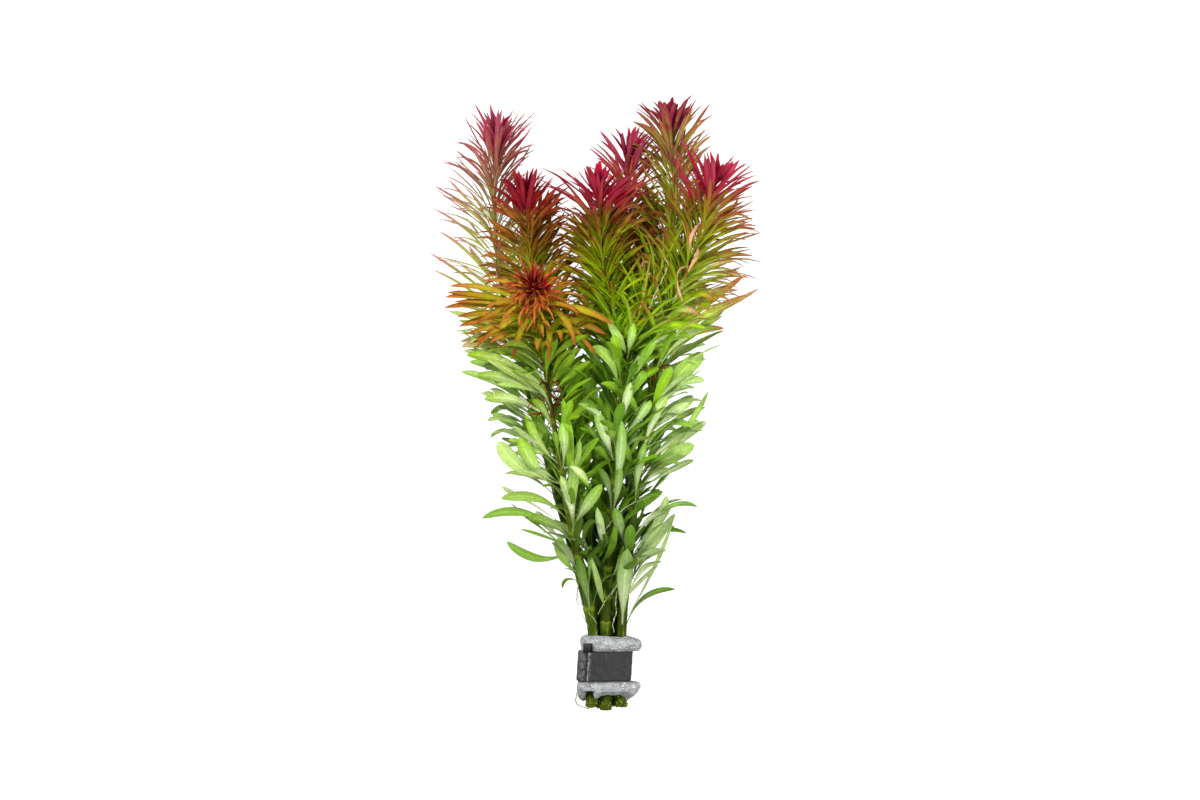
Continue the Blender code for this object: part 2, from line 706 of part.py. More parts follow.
def place_single_leaves(placed, routes):
    """The large leaves, as name and sections, clear of the stems and of each other."""
    found = []
    counts = {shoot.name: 0 for shoot in SHOOTS}
    shoots = {shoot.name: shoot for shoot in SHOOTS}

    def keep(name, sections, tip):
        counts[name] += 1
        found.append((f"leaf_{name}_{counts[name]}", sections, tip))

    for single in SINGLE_LEAVES:
        shoot, route = shoots[single.shoot], routes[single.shoot]
        distance = route.distance_at_y(single.joint_y)
        point = route.at(distance)[0]
        tip = Vector(single.tip)
        out = tip - point
        along = route.at(distance)[1]
        out = (out - along * out.dot(along)).normalized()
        base = point + out * (stem_radius(shoot, route, distance) + PIECE_GAP + LEAF_THICKNESS)
        for rise in TIP_RISES:
            frames = lay_single_leaf(base, tip + Vector((0, 0, rise)), Vector(single.bow))
            sections = sections_of(frames, single.width, SINGLE_SECTIONS)
            if placed.meets(leaf_shell(sections, frames[-1].point, CLEARANCE)):
                continue
            placed.add("single", leaf_shell(sections, frames[-1].point, 0))
            keep(single.shoot, sections, frames[-1].point)
            break
    for name in FRONT_LEAF_SHOOTS:
        shoot, route = shoots[name], routes[name]
        distances = whorl_distances(route)
        for whorl in kept_whorls(shoot, route):
            distance = distances[whorl]
            place = route.at(distance)
            if breadth_at(place[0].y) < 0.5 or len(found) >= MOST_SINGLES:
                continue
            leaf = leaf_plan(shoot, whorl, 0, distance, place[0].y)
            made = free_leaf(placed, "single", shoot, place, leaf, SINGLE_SECTIONS)
            if made:
                keep(name, *made)
    return found


def crown(shoot, route, placed):
    """The growing tip: its end of the stem with the youngest whorls."""
    distances = whorl_distances(route)
    tube = Tube(shoot, route, distances[CROWN_WHORLS - 1] + NODE_HEIGHT)
    for whorl in reversed(range(CROWN_WHORLS)):
        grow_whorl(tube, placed, "crown_" + shoot.name, whorl, distances[whorl])
    tube.draw_to(0.1)
    return tube.bm


def stem(shoot, route, placed):
    """The rest of the shoot, up from its cut end. On some, one leaf of a broad whorl is its own piece."""
    distances = whorl_distances(route)
    tube = Tube(shoot, route, route.length)
    for whorl in reversed(kept_whorls(shoot, route)):
        broad = breadth_at(route.at(distances[whorl])[0].y) > 0.5
        skipped = (0,) if broad and shoot.name in FRONT_LEAF_SHOOTS else ()
        grow_whorl(tube, placed, "stem_" + shoot.name, whorl, distances[whorl], skipped)
    tube.draw_to(distances[CROWN_WHORLS - 1] + NODE_HEIGHT + PIECE_GAP)
    return tube.bm


def centre(bunch, collection):
    """Moves the bunch so that the origin is under the middle of its box."""
    bpy.context.view_layer.update()
    corners = []
    for obj in collection.objects:
        if obj.type == "MESH":
            corners += [obj.matrix_world @ vert.co for vert in obj.data.vertices]
    low = [min(point[axis] for point in corners) for axis in range(3)]
    high = [max(point[axis] for point in corners) for axis in range(3)]
    bunch.location = (-(low[0] + high[0]) / 2, -(low[1] + high[1]) / 2, 0)


def main():
    for obj in list(bpy.data.objects):
        bpy.data.objects.remove(obj, do_unlink=True)
    collection = bpy.data.collections.new("stem_plant_bunch")
    bpy.context.scene.collection.children.link(collection)
    bunch = bpy.data.objects.new("bunch", None)
    collection.objects.link(bunch)

    stem_green = make_material("stem_green", (0.16, 0.27, 0.03), 0.5)
    crown_red = make_material("crown_red", (0.33, 0.02, 0.05), 0.45)
    leaf_green = make_material("leaf_green", (0.30, 0.52, 0.10), 0.42)
    foam_grey = make_material("foam_grey", (0.42, 0.42, 0.42), 0.95)
    lead_grey = make_material("lead_grey", (0.035, 0.035, 0.037), 0.6, 0.4)

    add_object("foam_wrap", foam_wrap(), foam_grey, bunch, collection)
    lead_strip(lead_grey, bunch, collection)

    routes = {shoot.name: Route(shoot.path) for shoot in SHOOTS}
    placed = Placed()
    for shoot in SHOOTS:
        placed.add("tube_" + shoot.name, tube_shell(shoot, routes[shoot.name]))
    for shoot in SHOOTS:
        made = crown(shoot, routes[shoot.name], placed)
        add_object("crown_" + shoot.name, made, crown_red, bunch, collection)
    for name, sections, tip in place_single_leaves(placed, routes):
        single_leaf_object(name, sections, tip, leaf_green, bunch, collection)
    for shoot in SHOOTS:
        made = stem(shoot, routes[shoot.name], placed)
        add_object("stem_" + shoot.name, made, stem_green, bunch, collection)
    centre(bunch, collection)


main()
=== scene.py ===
"""The looks of a cut and tied bunch of a red-tipped aquarium stem plant, lying on its back.

Seven leafy shoots are held at their cut ends by a foam wrap and a strip of soft lead. The tables are
in millimetres in the layout's own frame, the one that the solids were laid out in: +Y runs to the
growing tips and +Z up from the surface. Every mesh is made in metres, where its solids are.
"""

import math
import random
from collections import namedtuple

import bpy
import numpy as np
from mathutils import Matrix, Vector, noise


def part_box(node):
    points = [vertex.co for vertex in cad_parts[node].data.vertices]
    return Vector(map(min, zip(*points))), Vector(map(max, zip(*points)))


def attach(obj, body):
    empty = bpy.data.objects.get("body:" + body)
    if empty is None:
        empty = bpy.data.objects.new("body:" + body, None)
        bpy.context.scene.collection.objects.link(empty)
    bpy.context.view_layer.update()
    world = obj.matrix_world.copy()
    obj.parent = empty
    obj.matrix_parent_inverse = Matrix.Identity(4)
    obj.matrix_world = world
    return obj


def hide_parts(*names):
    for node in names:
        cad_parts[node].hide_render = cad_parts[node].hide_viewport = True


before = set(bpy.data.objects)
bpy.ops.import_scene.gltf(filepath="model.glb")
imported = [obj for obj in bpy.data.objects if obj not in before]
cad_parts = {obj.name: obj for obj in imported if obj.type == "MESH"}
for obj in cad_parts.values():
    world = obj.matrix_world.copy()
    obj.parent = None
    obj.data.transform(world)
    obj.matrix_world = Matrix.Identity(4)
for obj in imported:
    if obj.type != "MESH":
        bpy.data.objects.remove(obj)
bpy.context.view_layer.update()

MM = 0.001

# Lead strip, as in the solids
STRIP_TOP_Y = -113.7
STRIP_FOOT_Y = -128.2
STRIP_THICKNESS = 1.0
STRIP_LEFT_X = -8.6
STRIP_RIGHT_X = 16.4
STRIP_HEIGHT = 16.7
STRIP_SKEW = 0.06
STRIP_BEND = 2.6
STRIP_LAP_GAP = 0.4
STRIP_START_X = 1.5
STRIP_LAP_X = 3.0
STRIP_END_X = -3.9
STRIP_MIDDLE_Y = (STRIP_TOP_Y + STRIP_FOOT_Y) / 2

# The layout's own frame is moved so that its strip is where the solid strip is
strip_low, strip_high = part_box("lead_strip")
strip_middle_x = MM * (STRIP_LEFT_X + STRIP_RIGHT_X) / 2
LAYOUT = Vector(((strip_low.x + strip_high.x) / 2 - strip_middle_x, strip_low.y - MM * STRIP_FOOT_Y, 0))

# Stems
TIP_RADIUS = 0.8
BACK_RADIUS = 1.95
FRONT_RADIUS = 2.2
STEM_TAPER = 0.6

# Whorls: close together at the tip and further apart down the stem
FIRST_WHORL = 1.0
WHORL_SPACING = 2.4
WHORL_GROWTH = 0.075
WIDEST_SPACING = 13.5
CROWN_WHORLS = 5
BARE_BELOW_Y = -96.0

# How leaves grow: their length and width, and their lean from the stem at the joint and at the tip
Habit = namedtuple("Habit", "length width start end")
BUD = Habit(15.5, 2.2, 14, 30)
YOUNG = Habit(25.0, 2.4, 34, 58)
NARROW = Habit(33.0, 2.1, 44, 80)
BROAD = Habit(31.0, 6.0, 30, 62)

# Distances from the growing point over which a habit turns into the next, and the height of the last turn
BUD_TO_YOUNG = (0, 14)
YOUNG_TO_NARROW = (10, 60)
NARROW_ABOVE_Y = 34.0
BROAD_BELOW_Y = 4.0

# Leaves in a whorl: those of the solids, and more that fill its gaps
NARROW_COUNT = 6
BROAD_COUNT = 4
NARROW_EXTRA = 6
BROAD_EXTRA = 1

# How far single leaves stray from their habit: angles in degrees, and shares of length and width
TURN_SPREAD = 9
START_SPREAD = 5
END_SPREAD = 10
ROLL_SPREAD = 24
LENGTH_SPREAD = (0.86, 1.08)
WIDTH_SPREAD = (0.85, 1.15)


def table(kind, *rows):
    """Rows whose values are read by name."""
    return tuple(kind(*row) for row in rows)


# Each shoot's radius, the share of the usual length that its leaves have, the turn of its lower leaves,
# how far its whorls open wider, and its path from its cut end to its growing point, as x, y and z
Shoot = namedtuple("Shoot", "name radius reach turn opening path")
SHOOTS = table(
    Shoot,
    ("1", BACK_RADIUS, 0.97, 10, -5, (
        (-1.2, -137, 5.8), (-1.2, -118, 5.8), (-1.7, -103, 6.1), (-7, -80, 7), (-18, -40, 10),
        (-29, 0, 13), (-38, 30, 15), (-43, 52, 16), (-46, 80, 16), (-46, 102, 16), (-44.4, 122, 17),
    )),
    ("2", FRONT_RADIUS, 1.05, 0, 20, (
        (-2.3, -140, 10.3), (-1.0, -118, 10.3), (-1.6, -103, 10.9), (-5, -82, 14.5), (-10.5, -59, 20),
        (-16, -27, 28), (-20.5, 0, 34.5), (-24, 22, 39), (-26, 35, 43), (-27, 44, 48), (-27.2, 49.5, 56.5),
    )),
    ("3", BACK_RADIUS, 0.85, 25, 0, (
        (2.95, -138, 5.8), (2.95, -118, 5.8), (2.6, -103, 6.1), (0, -80, 7.2), (-6, -45, 11),
        (-13, -5, 16), (-20, 25, 21), (-26, 47, 25), (-29.5, 66, 28), (-32.3, 93, 31),
    )),
    ("4", BACK_RADIUS, 0.92, 40, 0, (
        (7.1, -137, 5.8), (7.1, -118, 5.8), (7.1, -103, 6.2), (7.2, -80, 8), (7.3, -45, 13),
        (8.3, -5, 20), (8.3, 28, 27), (6.3, 48, 31), (3, 63, 33.5), (1.2, 96.5, 36),
    )),
    ("5", BACK_RADIUS, 0.85, 5, 0, (
        (11.25, -138, 5.8), (11.25, -118, 5.8), (11.4, -103, 5.9), (12.6, -80, 5.8), (15, -45, 6.5),
        (16.5, -5, 8.5), (15, 40, 11), (13.5, 70, 13.5), (14.9, 111.5, 15),
    )),
    ("6", FRONT_RADIUS, 1.0, 0, -5, (
        (4.4, -141.5, 10.3), (4.4, -118, 10.3), (4.4, -103, 10.9), (5, -85, 13), (6, -60, 18),
        (8, -35, 24), (11, -5, 29), (14.5, 22, 31), (20.5, 40, 29), (28, 54, 26), (33.5, 72, 22),
        (35.4, 95, 19), (33.6, 127, 18),
    )),
    ("7", FRONT_RADIUS, 1.06, 20, 0, (
        (11.5, -140, 10.3), (11.5, -118, 10.3), (11.8, -103, 10.7), (12.8, -88, 12), (15, -68, 15),
        (17.5, -45, 19), (21, -18, 24), (25.2, 5, 27), (31, 37, 30), (38.6, 54, 31.5), (44.5, 68, 32.5),
        (53, 100, 34),
    )),
)

# Leaves that show singly: shoot, y of the joint on the stem, tip, bow out of line, width, and the
# angle that each is turned over by, half a turn to show its underside
SingleLeaf = namedtuple("SingleLeaf", "shoot joint_y tip bow width turn")
SINGLE_LEAVES = table(
    SingleLeaf,
    ("1", 66, (-74.3, 88.5, 14), (2, 2, 2), 1.1, 0),
    ("1", 76, (-70.4, 94.3, 15), (1, 3, 2), 1.3, 15),
    ("1", 44, (-76.2, 68.4, 14), (1, 1, 2), 1.2, 0),
    ("1", 38, (-74.6, 60.6, 14), (1, 2, 2), 1.1, 20),
    ("1", 52, (-71.5, 78.0, 15), (1, 3, 2), 1.3, -10),
    ("1", 0, (-61.5, 14.0, 14), (0, 4, 2), 3.0, 180),
    ("1", 6, (-57.5, 18.5, 18), (0, 4, 2), 3.2, 175),
    ("1", 12, (-53.0, 24.0, 20), (0, 3, 3), 3.0, 180),
    ("2", 2, (-54.5, 12.0, 30), (0, 4, 4), 4.2, 175),
    ("2", 8, (-58.5, 21.5, 31), (0, 4, 4), 4.0, 180),
    ("2", -6, (-50.5, 1.5, 28), (0, 4, 4), 4.4, 170),
    ("2", 43, (-65.8, 52.2, 37), (0, 3, 4), 2.5, 25),
    ("2", 42, (-66.8, 49.4, 36), (0, 2, 4), 2.3, -20),
    ("2", 41, (-68.0, 47.4, 34), (0, 3, 4), 2.7, 10),
    ("2", 40, (-64.0, 45.2, 35), (1, 2, 4), 2.4, 30),
    ("2", 38, (-68.5, 42.8, 31), (2, 4, 4), 2.9, -10),
    ("2", 37, (-62.5, 38.6, 33), (1, 3, 4), 2.7, -25),
    ("2", 35, (-62.0, 34.3, 29), (2, 4, 4), 3.0, 5),
    ("2", 33, (-58.5, 30.6, 30), (2, 3, 3), 2.7, 20),
    ("2", 32, (-57.0, 26.4, 27), (2, 4, 3), 3.1, 15),
    ("2", 45, (-50.0, 54.6, 44), (2, 3, 4), 1.7, 20),
    ("2", 41, (-54.3, 34.6, 44), (2, 5, 6), 2.3, -20),
    ("2", 38, (-54.0, 24.8, 40), (2, 5, 5), 2.4, 15),
    ("2", 39, (-37.0, 19.2, 46), (-1, 4, 6), 2.3, 0),
    ("2", 40, (-21.4, 17.6, 50), (3, 4, 6), 2.3, 10),
    ("2", 42, (-8.8, 24.4, 52), (2, 6, 6), 2.5, -15),
    ("2", 39, (0.4, 21.0, 49), (0, 5, 5), 2.4, 20),
    ("2", 42, (8.4, 34.4, 48), (0, 4, 5), 2.7, 0),
    ("2", 38, (4.4, 30.4, 44), (0, 3, 4), 3.0, 12),
    ("2", -59, (-52.0, -52.7, 17), (0, 7, 3), 3.8, 20),
    ("2", -66, (-41.0, -63.5, 8), (0, -6, 2), 3.8, 10),
    ("2", -50, (-43.0, -43.5, 24), (2, 5, 4), 4.2, 0),
    ("2", -36, (-44.0, -17.5, 28), (-3, -3, 4), 6.4, 10),
    ("2", -36, (-34.0, -15.0, 34), (-2, -4, 3), 6.2, 165),
    ("2", -25, (-31.5, -5.5, 36), (-1, -2, 3), 4.0, 160),
    ("2", -42, (-14.8, 2.0, 41), (2, -3, 4), 4.0, 0),
    ("2", -60, (-7.0, -16.0, 36), (-3, -5, 5), 4.4, 10),
    ("2", -56, (2.8, -36.6, 37), (-2, -2, 5), 4.8, 170),
    ("2", -57, (-15.8, -32.9, 34), (2, 0, 5), 4.4, 190),
    ("2", -30, (-3.2, -37.5, 38), (0, 4, 6), 3.2, 170),
    ("2", -28, (-15.2, -9.0, 43), (1, 0, 5), 4.2, 185),
    ("2", -62, (-31.4, -52.6, 21), (2, 3, 3), 4.6, 160),
    ("2", -66, (-34.3, -57.7, 15), (0, 1, 1), 1.4, 0),
    ("2", -76, (-16.6, -61.0, 18), (-2, -2, 3), 5.2, 0),
    ("2", -80, (-15.4, -84.9, 10), (-2, 3, 1), 1.4, 0),
    ("2", -93, (-5.5, -77.0, 18), (0, 0, 2), 2.2, 180),
    ("2", -84, (-2.3, -64.5, 22), (0, 0, 3), 2.4, 175),
    ("3", -14, (-13.0, 18.0, 27), (2, -1, 3), 6.6, 10),
    ("3", -24, (-8.0, 9.0, 25), (1, -2, 3), 6.4, -10),
    ("3", -34, (-5.5, -6.0, 22), (0, -2, 3), 6.0, 10),
    ("3", -73, (8.7, -54.5, 30), (2, -3, 9), 3.0, 15),
    ("3", -101, (-0.6, -66.0, 10), (0, 0, 1), 3.0, 10),
    ("3", -98, (3.6, -70.0, 11), (0, 0, 1), 2.8, 0),
    ("3", -103, (-2.4, -72.0, 9), (-0.4, 0, 1), 3.6, 0),
    ("4", -22, (-3.5, 14.0, 29), (-2, -1, 3), 6.2, 5),
    ("4", -48, (-0.6, -26.0, 21), (-1, 0, 3), 5.0, -15),
    ("4", -60, (1.2, -38.0, 19), (-1, 0, 2), 4.8, 15),
    ("4", -101, (9.4, -70.0, 12), (0, 0, 1), 3.2, 5),
    ("4", -99, (8.8, -62.0, 13), (1, 0, 1), 3.0, 20),
    ("5", -100, (15.6, -72.0, 9), (0, 0, 1), 3.2, 0),
    ("6", 24, (5.0, 37.0, 44), (2, -3, 5), 3.5, 15),
    ("6", 14, (7.3, 29.8, 44), (0, 3, 6), 3.7, -10),
    ("6", 6, (-1.9, 25.0, 43), (2, 4, 6), 4.2, 10),
    ("6", 22, (16.9, 35.5, 45), (0, 0, 5), 3.5, 170),
    ("6", -65, (0.5, -47.0, 38), (0, -4, 5), 3.8, 160),
    ("6", -40, (11.5, -8.0, 42), (1, -3, 5), 4.4, 170),
    ("6", -92, (-2.0, -70.0, 28), (1, -4, 3), 2.6, 10),
    ("6", -24, (-0.2, -3.5, 42), (1, -2, 5), 4.4, 175),
    ("6", -26, (-5.5, -10.0, 38), (0, 2, 4), 2.4, 170),
    ("6", -14, (-7.8, -0.7, 44), (1, 3, 6), 3.0, 160),
    ("6", -8, (15.6, 9.0, 47), (0, 0, 6), 3.6, 180),
    ("6", -50, (10.6, -27.8, 37), (1, 0, 4), 3.4, 180),
    ("6", -80, (12.4, -64.6, 26), (1, -1, 3), 2.6, 175),
    ("7", 34, (73.6, 51.5, 30), (-2, -2, 4), 2.4, 160),
    ("7", 27, (70.6, 49.0, 30), (-2, 2, 4), 3.1, 0),
    ("7", 30, (67.2, 57.6, 31), (0, 1, 3), 3.0, 10),
    ("7", 44, (53.1, 44.6, 45), (2, 5, 6), 2.6, 0),
    ("7", 36, (46.0, 39.0, 44), (0, 5, 6), 2.8, 10),
    ("6", 30, (50.0, 33.0, 42), (0, 4, 5), 2.9, 0),
    ("7", 24, (57.5, 33.3, 32), (0, 4, 3), 3.1, 0),
    ("7", 18, (59.5, 44.0, 30), (0, 0, 3), 3.0, -15),
    ("7", -101, (14.2, -66.0, 27), (-0.5, -3, 4), 6.6, 180),
    ("7", -102, (36.3, -85.0, 15), (-3, 5, 0), 2.4, 185),
    ("7", -98, (35.0, -54.0, 17), (1, -1, 2), 1.8, 20),
    ("7", -82, (36.0, -50.5, 17), (0, 1, 2), 3.6, 10),
    ("7", -76, (34.5, -46.2, 19), (-1, 1, 2), 3.6, 0),
    ("7", -72, (32.2, -42.1, 22), (2, -1, 2), 4.2, 20),
    ("7", -70, (41.4, -59.6, 16), (0, 6, 1), 1.8, 10),
    ("7", -72, (15.8, -55.0, 30), (0, 0, 4), 4.6, 0),
    ("7", -66, (8.5, -47.4, 33), (0, 0, 5), 4.4, 175),
    ("7", -63, (46.0, -47.4, 22), (1, 8, 4), 2.2, 160),
    ("7", -44, (22.3, -17.9, 34), (-1, 0, 4), 3.6, 180),
    ("7", -38, (44.6, -26.0, 20), (1, 2, 2), 2.8, 160),
    ("7", -36, (50.2, -8.5, 24), (-1, 3, 3), 4.6, 165),
    ("7", -36, (44.5, -19.0, 26), (-2, 1, 3), 6.0, 5),
    ("7", -30, (51.0, 5.5, 27), (1, -4, 2), 2.6, 0),
    ("7", -15, (44.6, 2.0, 29), (-1, 1, 3), 4.2, 165),
    ("7", -12, (43.0, 15.5, 31), (-2, 2, 3), 6.0, 170),
    ("7", -8, (48.5, 22.5, 33), (-2, 2, 4), 7.0, 10),
    ("6", -2, (22.0, 14.0, 42), (2, 3, 5), 3.8, 10),
    ("6", -16, (24.5, 1.0, 40), (2, 2, 5), 4.0, 170),
    ("7", -10, (34.0, 16.0, 40), (0, 3, 5), 4.2, 5),
    ("7", -22, (32.0, 3.0, 38), (-1, 2, 5), 4.4, 175),
    ("6", 8, (26.5, 27.0, 43), (1, 3, 5), 3.6, 12),
)

# Leaves that fill the outside and the inside of the bunch: shoot, the range of heights on its stem, the
# turn round the stem that they point to and how far they stray from it, their count, and the ranges of
# their length, width and lean at the tip
Spray = namedtuple("Spray", "shoot low high turn stray count length width lean")
SPRAYS = table(
    Spray,
    ("1", 28, 74, -90, 60, 6, (26, 33), (1.2, 2.2), (40, 80)),
    ("1", -28, 26, -85, 45, 26, (21, 31), (3.0, 5.2), (50, 100)),
    ("1", -24, 10, -90, 35, 9, (27, 34), (3.4, 5.2), (55, 100)),
    ("1", -60, 20, 60, 60, 12, (20, 30), (3.0, 5.0), (30, 80)),
    ("2", -34, 18, -75, 50, 14, (20, 29), (3.2, 5.4), (50, 95)),
    ("2", 0, 24, -80, 45, 12, (22, 30), (3.0, 5.0), (50, 100)),
    ("3", 62, 84, 95, 50, 16, (20, 28), (1.6, 2.4), (40, 85)),
    ("1", -14, 30, -90, 30, 10, (28, 36), (3.0, 4.6), (60, 100)),
    ("3", -56, 6, 90, 50, 12, (22, 30), (3.2, 5.2), (20, 65)),
    ("4", -60, 6, -90, 50, 16, (22, 30), (3.2, 5.2), (20, 65)),
    ("2", -46, 14, 80, 50, 10, (20, 30), (3.0, 5.0), (40, 90)),
    ("3", -84, 26, 0, 180, 36, (22, 32), (2.8, 4.8), (20, 70)),
    ("4", -84, 30, 0, 180, 38, (22, 32), (2.8, 4.8), (20, 70)),
    ("5", -84, 30, 0, 180, 34, (22, 32), (2.8, 4.8), (20, 75)),
    ("3", 28, 78, 80, 70, 16, (22, 30), (1.3, 2.2), (40, 90)),
    ("4", 32, 80, 80, 70, 16, (22, 30), (1.3, 2.2), (40, 90)),
    ("4", 32, 74, -80, 70, 14, (22, 30), (1.3, 2.2), (40, 90)),
    ("4", 26, 72, 180, 110, 24, (22, 30), (1.8, 2.8), (30, 85)),
    ("5", 26, 84, 180, 130, 44, (22, 31), (1.8, 3.0), (30, 85)),
    ("6", 30, 80, 180, 120, 30, (22, 30), (1.8, 2.8), (30, 85)),
    ("3", 26, 66, 180, 110, 20, (22, 30), (1.8, 2.8), (30, 85)),
    ("3", 36, 70, 180, 100, 40, (22, 30), (1.8, 2.8), (30, 85)),
    ("4", 40, 74, 180, 100, 24, (22, 30), (1.8, 2.8), (30, 85)),
    ("4", 16, 54, -100, 60, 26, (22, 30), (2.4, 3.6), (30, 85)),
    ("7", 38, 80, -90, 60, 28, (22, 30), (1.6, 2.6), (30, 80)),
    ("5", 8, 64, 180, 130, 34, (24, 34), (2.8, 4.2), (30, 80)),
    ("7", 20, 62, 180, 110, 26, (22, 32), (2.4, 3.8), (30, 80)),
    ("6", 40, 84, 110, 50, 26, (22, 30), (1.8, 2.8), (30, 80)),
    ("5", 34, 88, 70, 60, 18, (24, 32), (1.5, 2.6), (40, 85)),
    ("5", 34, 92, -70, 60, 16, (22, 30), (1.4, 2.2), (40, 85)),
    ("6", 30, 84, -70, 70, 16, (22, 30), (1.3, 2.2), (40, 90)),
    ("6", -30, 24, 30, 110, 14, (20, 30), (2.6, 4.4), (40, 80)),
    ("7", -46, 32, 85, 45, 26, (20, 29), (2.6, 4.8), (45, 95)),
    ("7", 34, 82, 90, 55, 44, (25, 35), (1.2, 2.1), (50, 95)),
)

# How far left and right the tips of unlisted leaves may reach at each height: y, left and right
LIMITS = (
    (-95, -8, 18), (-80, -14, 25), (-70, -18, 31), (-58, -28, 37), (-45, -42, 44), (-20, -51, 50),
    (5, -53, 54), (30, -64, 66), (45, -70, 72), (60, -74, 75), (140, -74, 75),
)

# What keeps the chance draws of different things apart
SEEDS = {
    "plan": 10007, "leaf": 90001, "single": 7919, "spray": 4001, "rosette": 5003, "stem": 31,
    "sheath": 17, "fray": 211, "crumb": 5, "withered": 613, "dried": 53,
}


def seeded(kind, number, more=0):
    """The same chance draws on each run for one numbered thing of a kind."""
    return random.Random(SEEDS[kind] * number + more)


def blend(low, high, value):
    """0 below low, 1 above high and a smooth step between them."""
    part = min(max((value - low) / (high - low), 0.0), 1.0)
    return part * part * (3 - 2 * part)


def between(first, last, part):
    return first + (last - first) * part


def mixed(first, last, part):
    """The same named tuple with each value between the two."""
    return type(first)(*(between(*pair, part) for pair in zip(first, last)))


class Route:
    """A smooth curve through a path, read by the distance back from its last point."""

    SPAN_SAMPLES = 10

    def __init__(self, path):
        controls = [Vector(point) for point in path]
        ends = [controls[0] * 2 - controls[1]] + controls + [controls[-1] * 2 - controls[-2]]
        self.points = []
        for before, start, end, after in zip(ends, ends[1:], ends[2:], ends[3:]):
            for index in range(self.SPAN_SAMPLES):
                t = index / self.SPAN_SAMPLES
                linear = (end - before) * t
                square = (before * 2 - start * 5 + end * 4 - after) * t**2
                cube = (start * 3 - before - end * 3 + after) * t**3
                self.points.append((start * 2 + linear + square + cube) * 0.5)
        self.points.append(controls[-1])
        self.points.reverse()
        self.reach = [0.0]
        for point, following in zip(self.points, self.points[1:]):
            self.reach.append(self.reach[-1] + (following - point).length)
        self.length = self.reach[-1]

    def at(self, distance):
        """The point there, with the directions along the stem, up and to the right."""
        index = 0
        while index < len(self.reach) - 2 and self.reach[index + 1] < distance:
            index += 1
        part = (distance - self.reach[index]) / (self.reach[index + 1] - self.reach[index])
        point = self.points[index].lerp(self.points[index + 1], part)
        low, high = max(index - 1, 0), min(index + 2, len(self.points) - 1)
        along = (self.points[low] - self.points[high]).normalized()
        up = Vector((0, 0, 1))
        up = (up - along * up.dot(along)).normalized()
        return point, along, up, along.cross(up)

    def distance_at_y(self, y):
        """The distance from the growing point down to this height."""
        for point, reach in zip(self.points, self.reach):
            if point.y < y:
                return reach
        return self.length


def stem_radius(shoot, route, distance):
    return between(TIP_RADIUS, shoot.radius, (distance / route.length) ** STEM_TAPER)


def away_from(up, right, turn):
    """The direction away from a stem, at a turn round it counted from straight up."""
    angle = math.radians(turn)
    return up * math.cos(angle) + right * math.sin(angle)


# Share of its radius at which a leaf starts inside its stem
ROOTED_AT = 0.8


def rooted(shoot, route, distance, turn):
    """Where a leaf starts, with the directions along its stem and away from it."""
    point, along, up, right = route.at(distance)
    out = away_from(up, right, turn)
    return point + out * (stem_radius(shoot, route, distance) * ROOTED_AT), along, out


def whorl_distances(route):
    """Distances from the growing point at which leaves grow."""
    found = []
    distance = FIRST_WHORL
    while distance < route.distance_at_y(BARE_BELOW_Y):
        found.append(distance)
        distance += min(WHORL_SPACING + WHORL_GROWTH * distance, WIDEST_SPACING)
    return found


def breadth_at(y):
    """0 where leaves are narrow, and 1 where they are broad."""
    return blend(-NARROW_ABOVE_Y, -BROAD_BELOW_Y, -y)


def is_broad(y):
    return breadth_at(y) > 0.5


Leaf = namedtuple("Leaf", "turn length width start end roll")
WHORL_SEED_STEP = 101


def leaf_plan(shoot, whorl, index, distance, y):
    """How one leaf of a whorl stands, with its turn round the stem counted from straight up.

    Leaves past the usual count stand halfway between two of the others.
    """
    draw = seeded("plan", int(shoot.name), whorl * WHORL_SEED_STEP + index)
    broad = breadth_at(y)
    count = BROAD_COUNT if is_broad(y) else NARROW_COUNT
    more = index - count
    place = index if more < 0 else more * count / 2 + 0.5 + more // 2
    turn = 360 / count * (place + 0.5 * (whorl % 2)) + shoot.turn * broad
    turn += draw.uniform(-TURN_SPREAD, TURN_SPREAD) * (1 + broad)
    grown = blend(*BUD_TO_YOUNG, distance)
    aged = blend(*YOUNG_TO_NARROW, distance)
    habit = mixed(mixed(mixed(BUD, YOUNG, grown), NARROW, aged), BROAD, broad)
    length = habit.length * shoot.reach * draw.uniform(*LENGTH_SPREAD)
    width = habit.width * draw.uniform(*WIDTH_SPREAD)
    opening = shoot.opening * grown * (1 - broad)
    start = habit.start + opening + draw.uniform(-START_SPREAD, START_SPREAD)
    end = habit.end + opening + draw.uniform(-END_SPREAD, END_SPREAD)
    roll = draw.uniform(-ROLL_SPREAD, ROLL_SPREAD)
    return Leaf(turn, length, width, start, end, roll)


# Leaf blades: the width at the joint as a share of the widest, where it is widest, how late it swells,
# how long its tip stays broad, how blunt the tip is, and how far the sides cup up and wave, as shares of
# the half width
Blade = namedtuple("Blade", "joint widest swell keep blunt cup wave")
CROWN_BLADE = Blade(0.55, 0.50, 1.0, 2.6, 0.75, 0.35, 0.05)
NARROW_BLADE = Blade(0.36, 0.60, 0.9, 2.6, 0.75, 0.35, 0.12)
SLENDER_BLADE = Blade(0.15, 0.68, 1.3, 2.4, 0.72, 0.24, 0.18)
BROAD_BLADE = Blade(0.12, 0.74, 1.7, 2.6, 0.58, 0.2, 0.16)

# Places down a leaf at which it has a section, closer together towards its tip
STATION_COUNT = 13
CLOSER_AT_TIP = 1.25
STATIONS = 1 - (1 - np.linspace(0, 1, STATION_COUNT)) ** CLOSER_AT_TIP
LEAF_THICKNESS = 0.3
LEAST_THICKNESS_SHARE = 0.6
RIB_WIDTH = 0.16
RIB_DEPTH = 0.12
RIB_GROOVE = 0.6
FULL_RIB_LEAF_WIDTH = 5
WAVES = (1.2, 2.6)
LEAST_HALF_WIDTH = 0.04

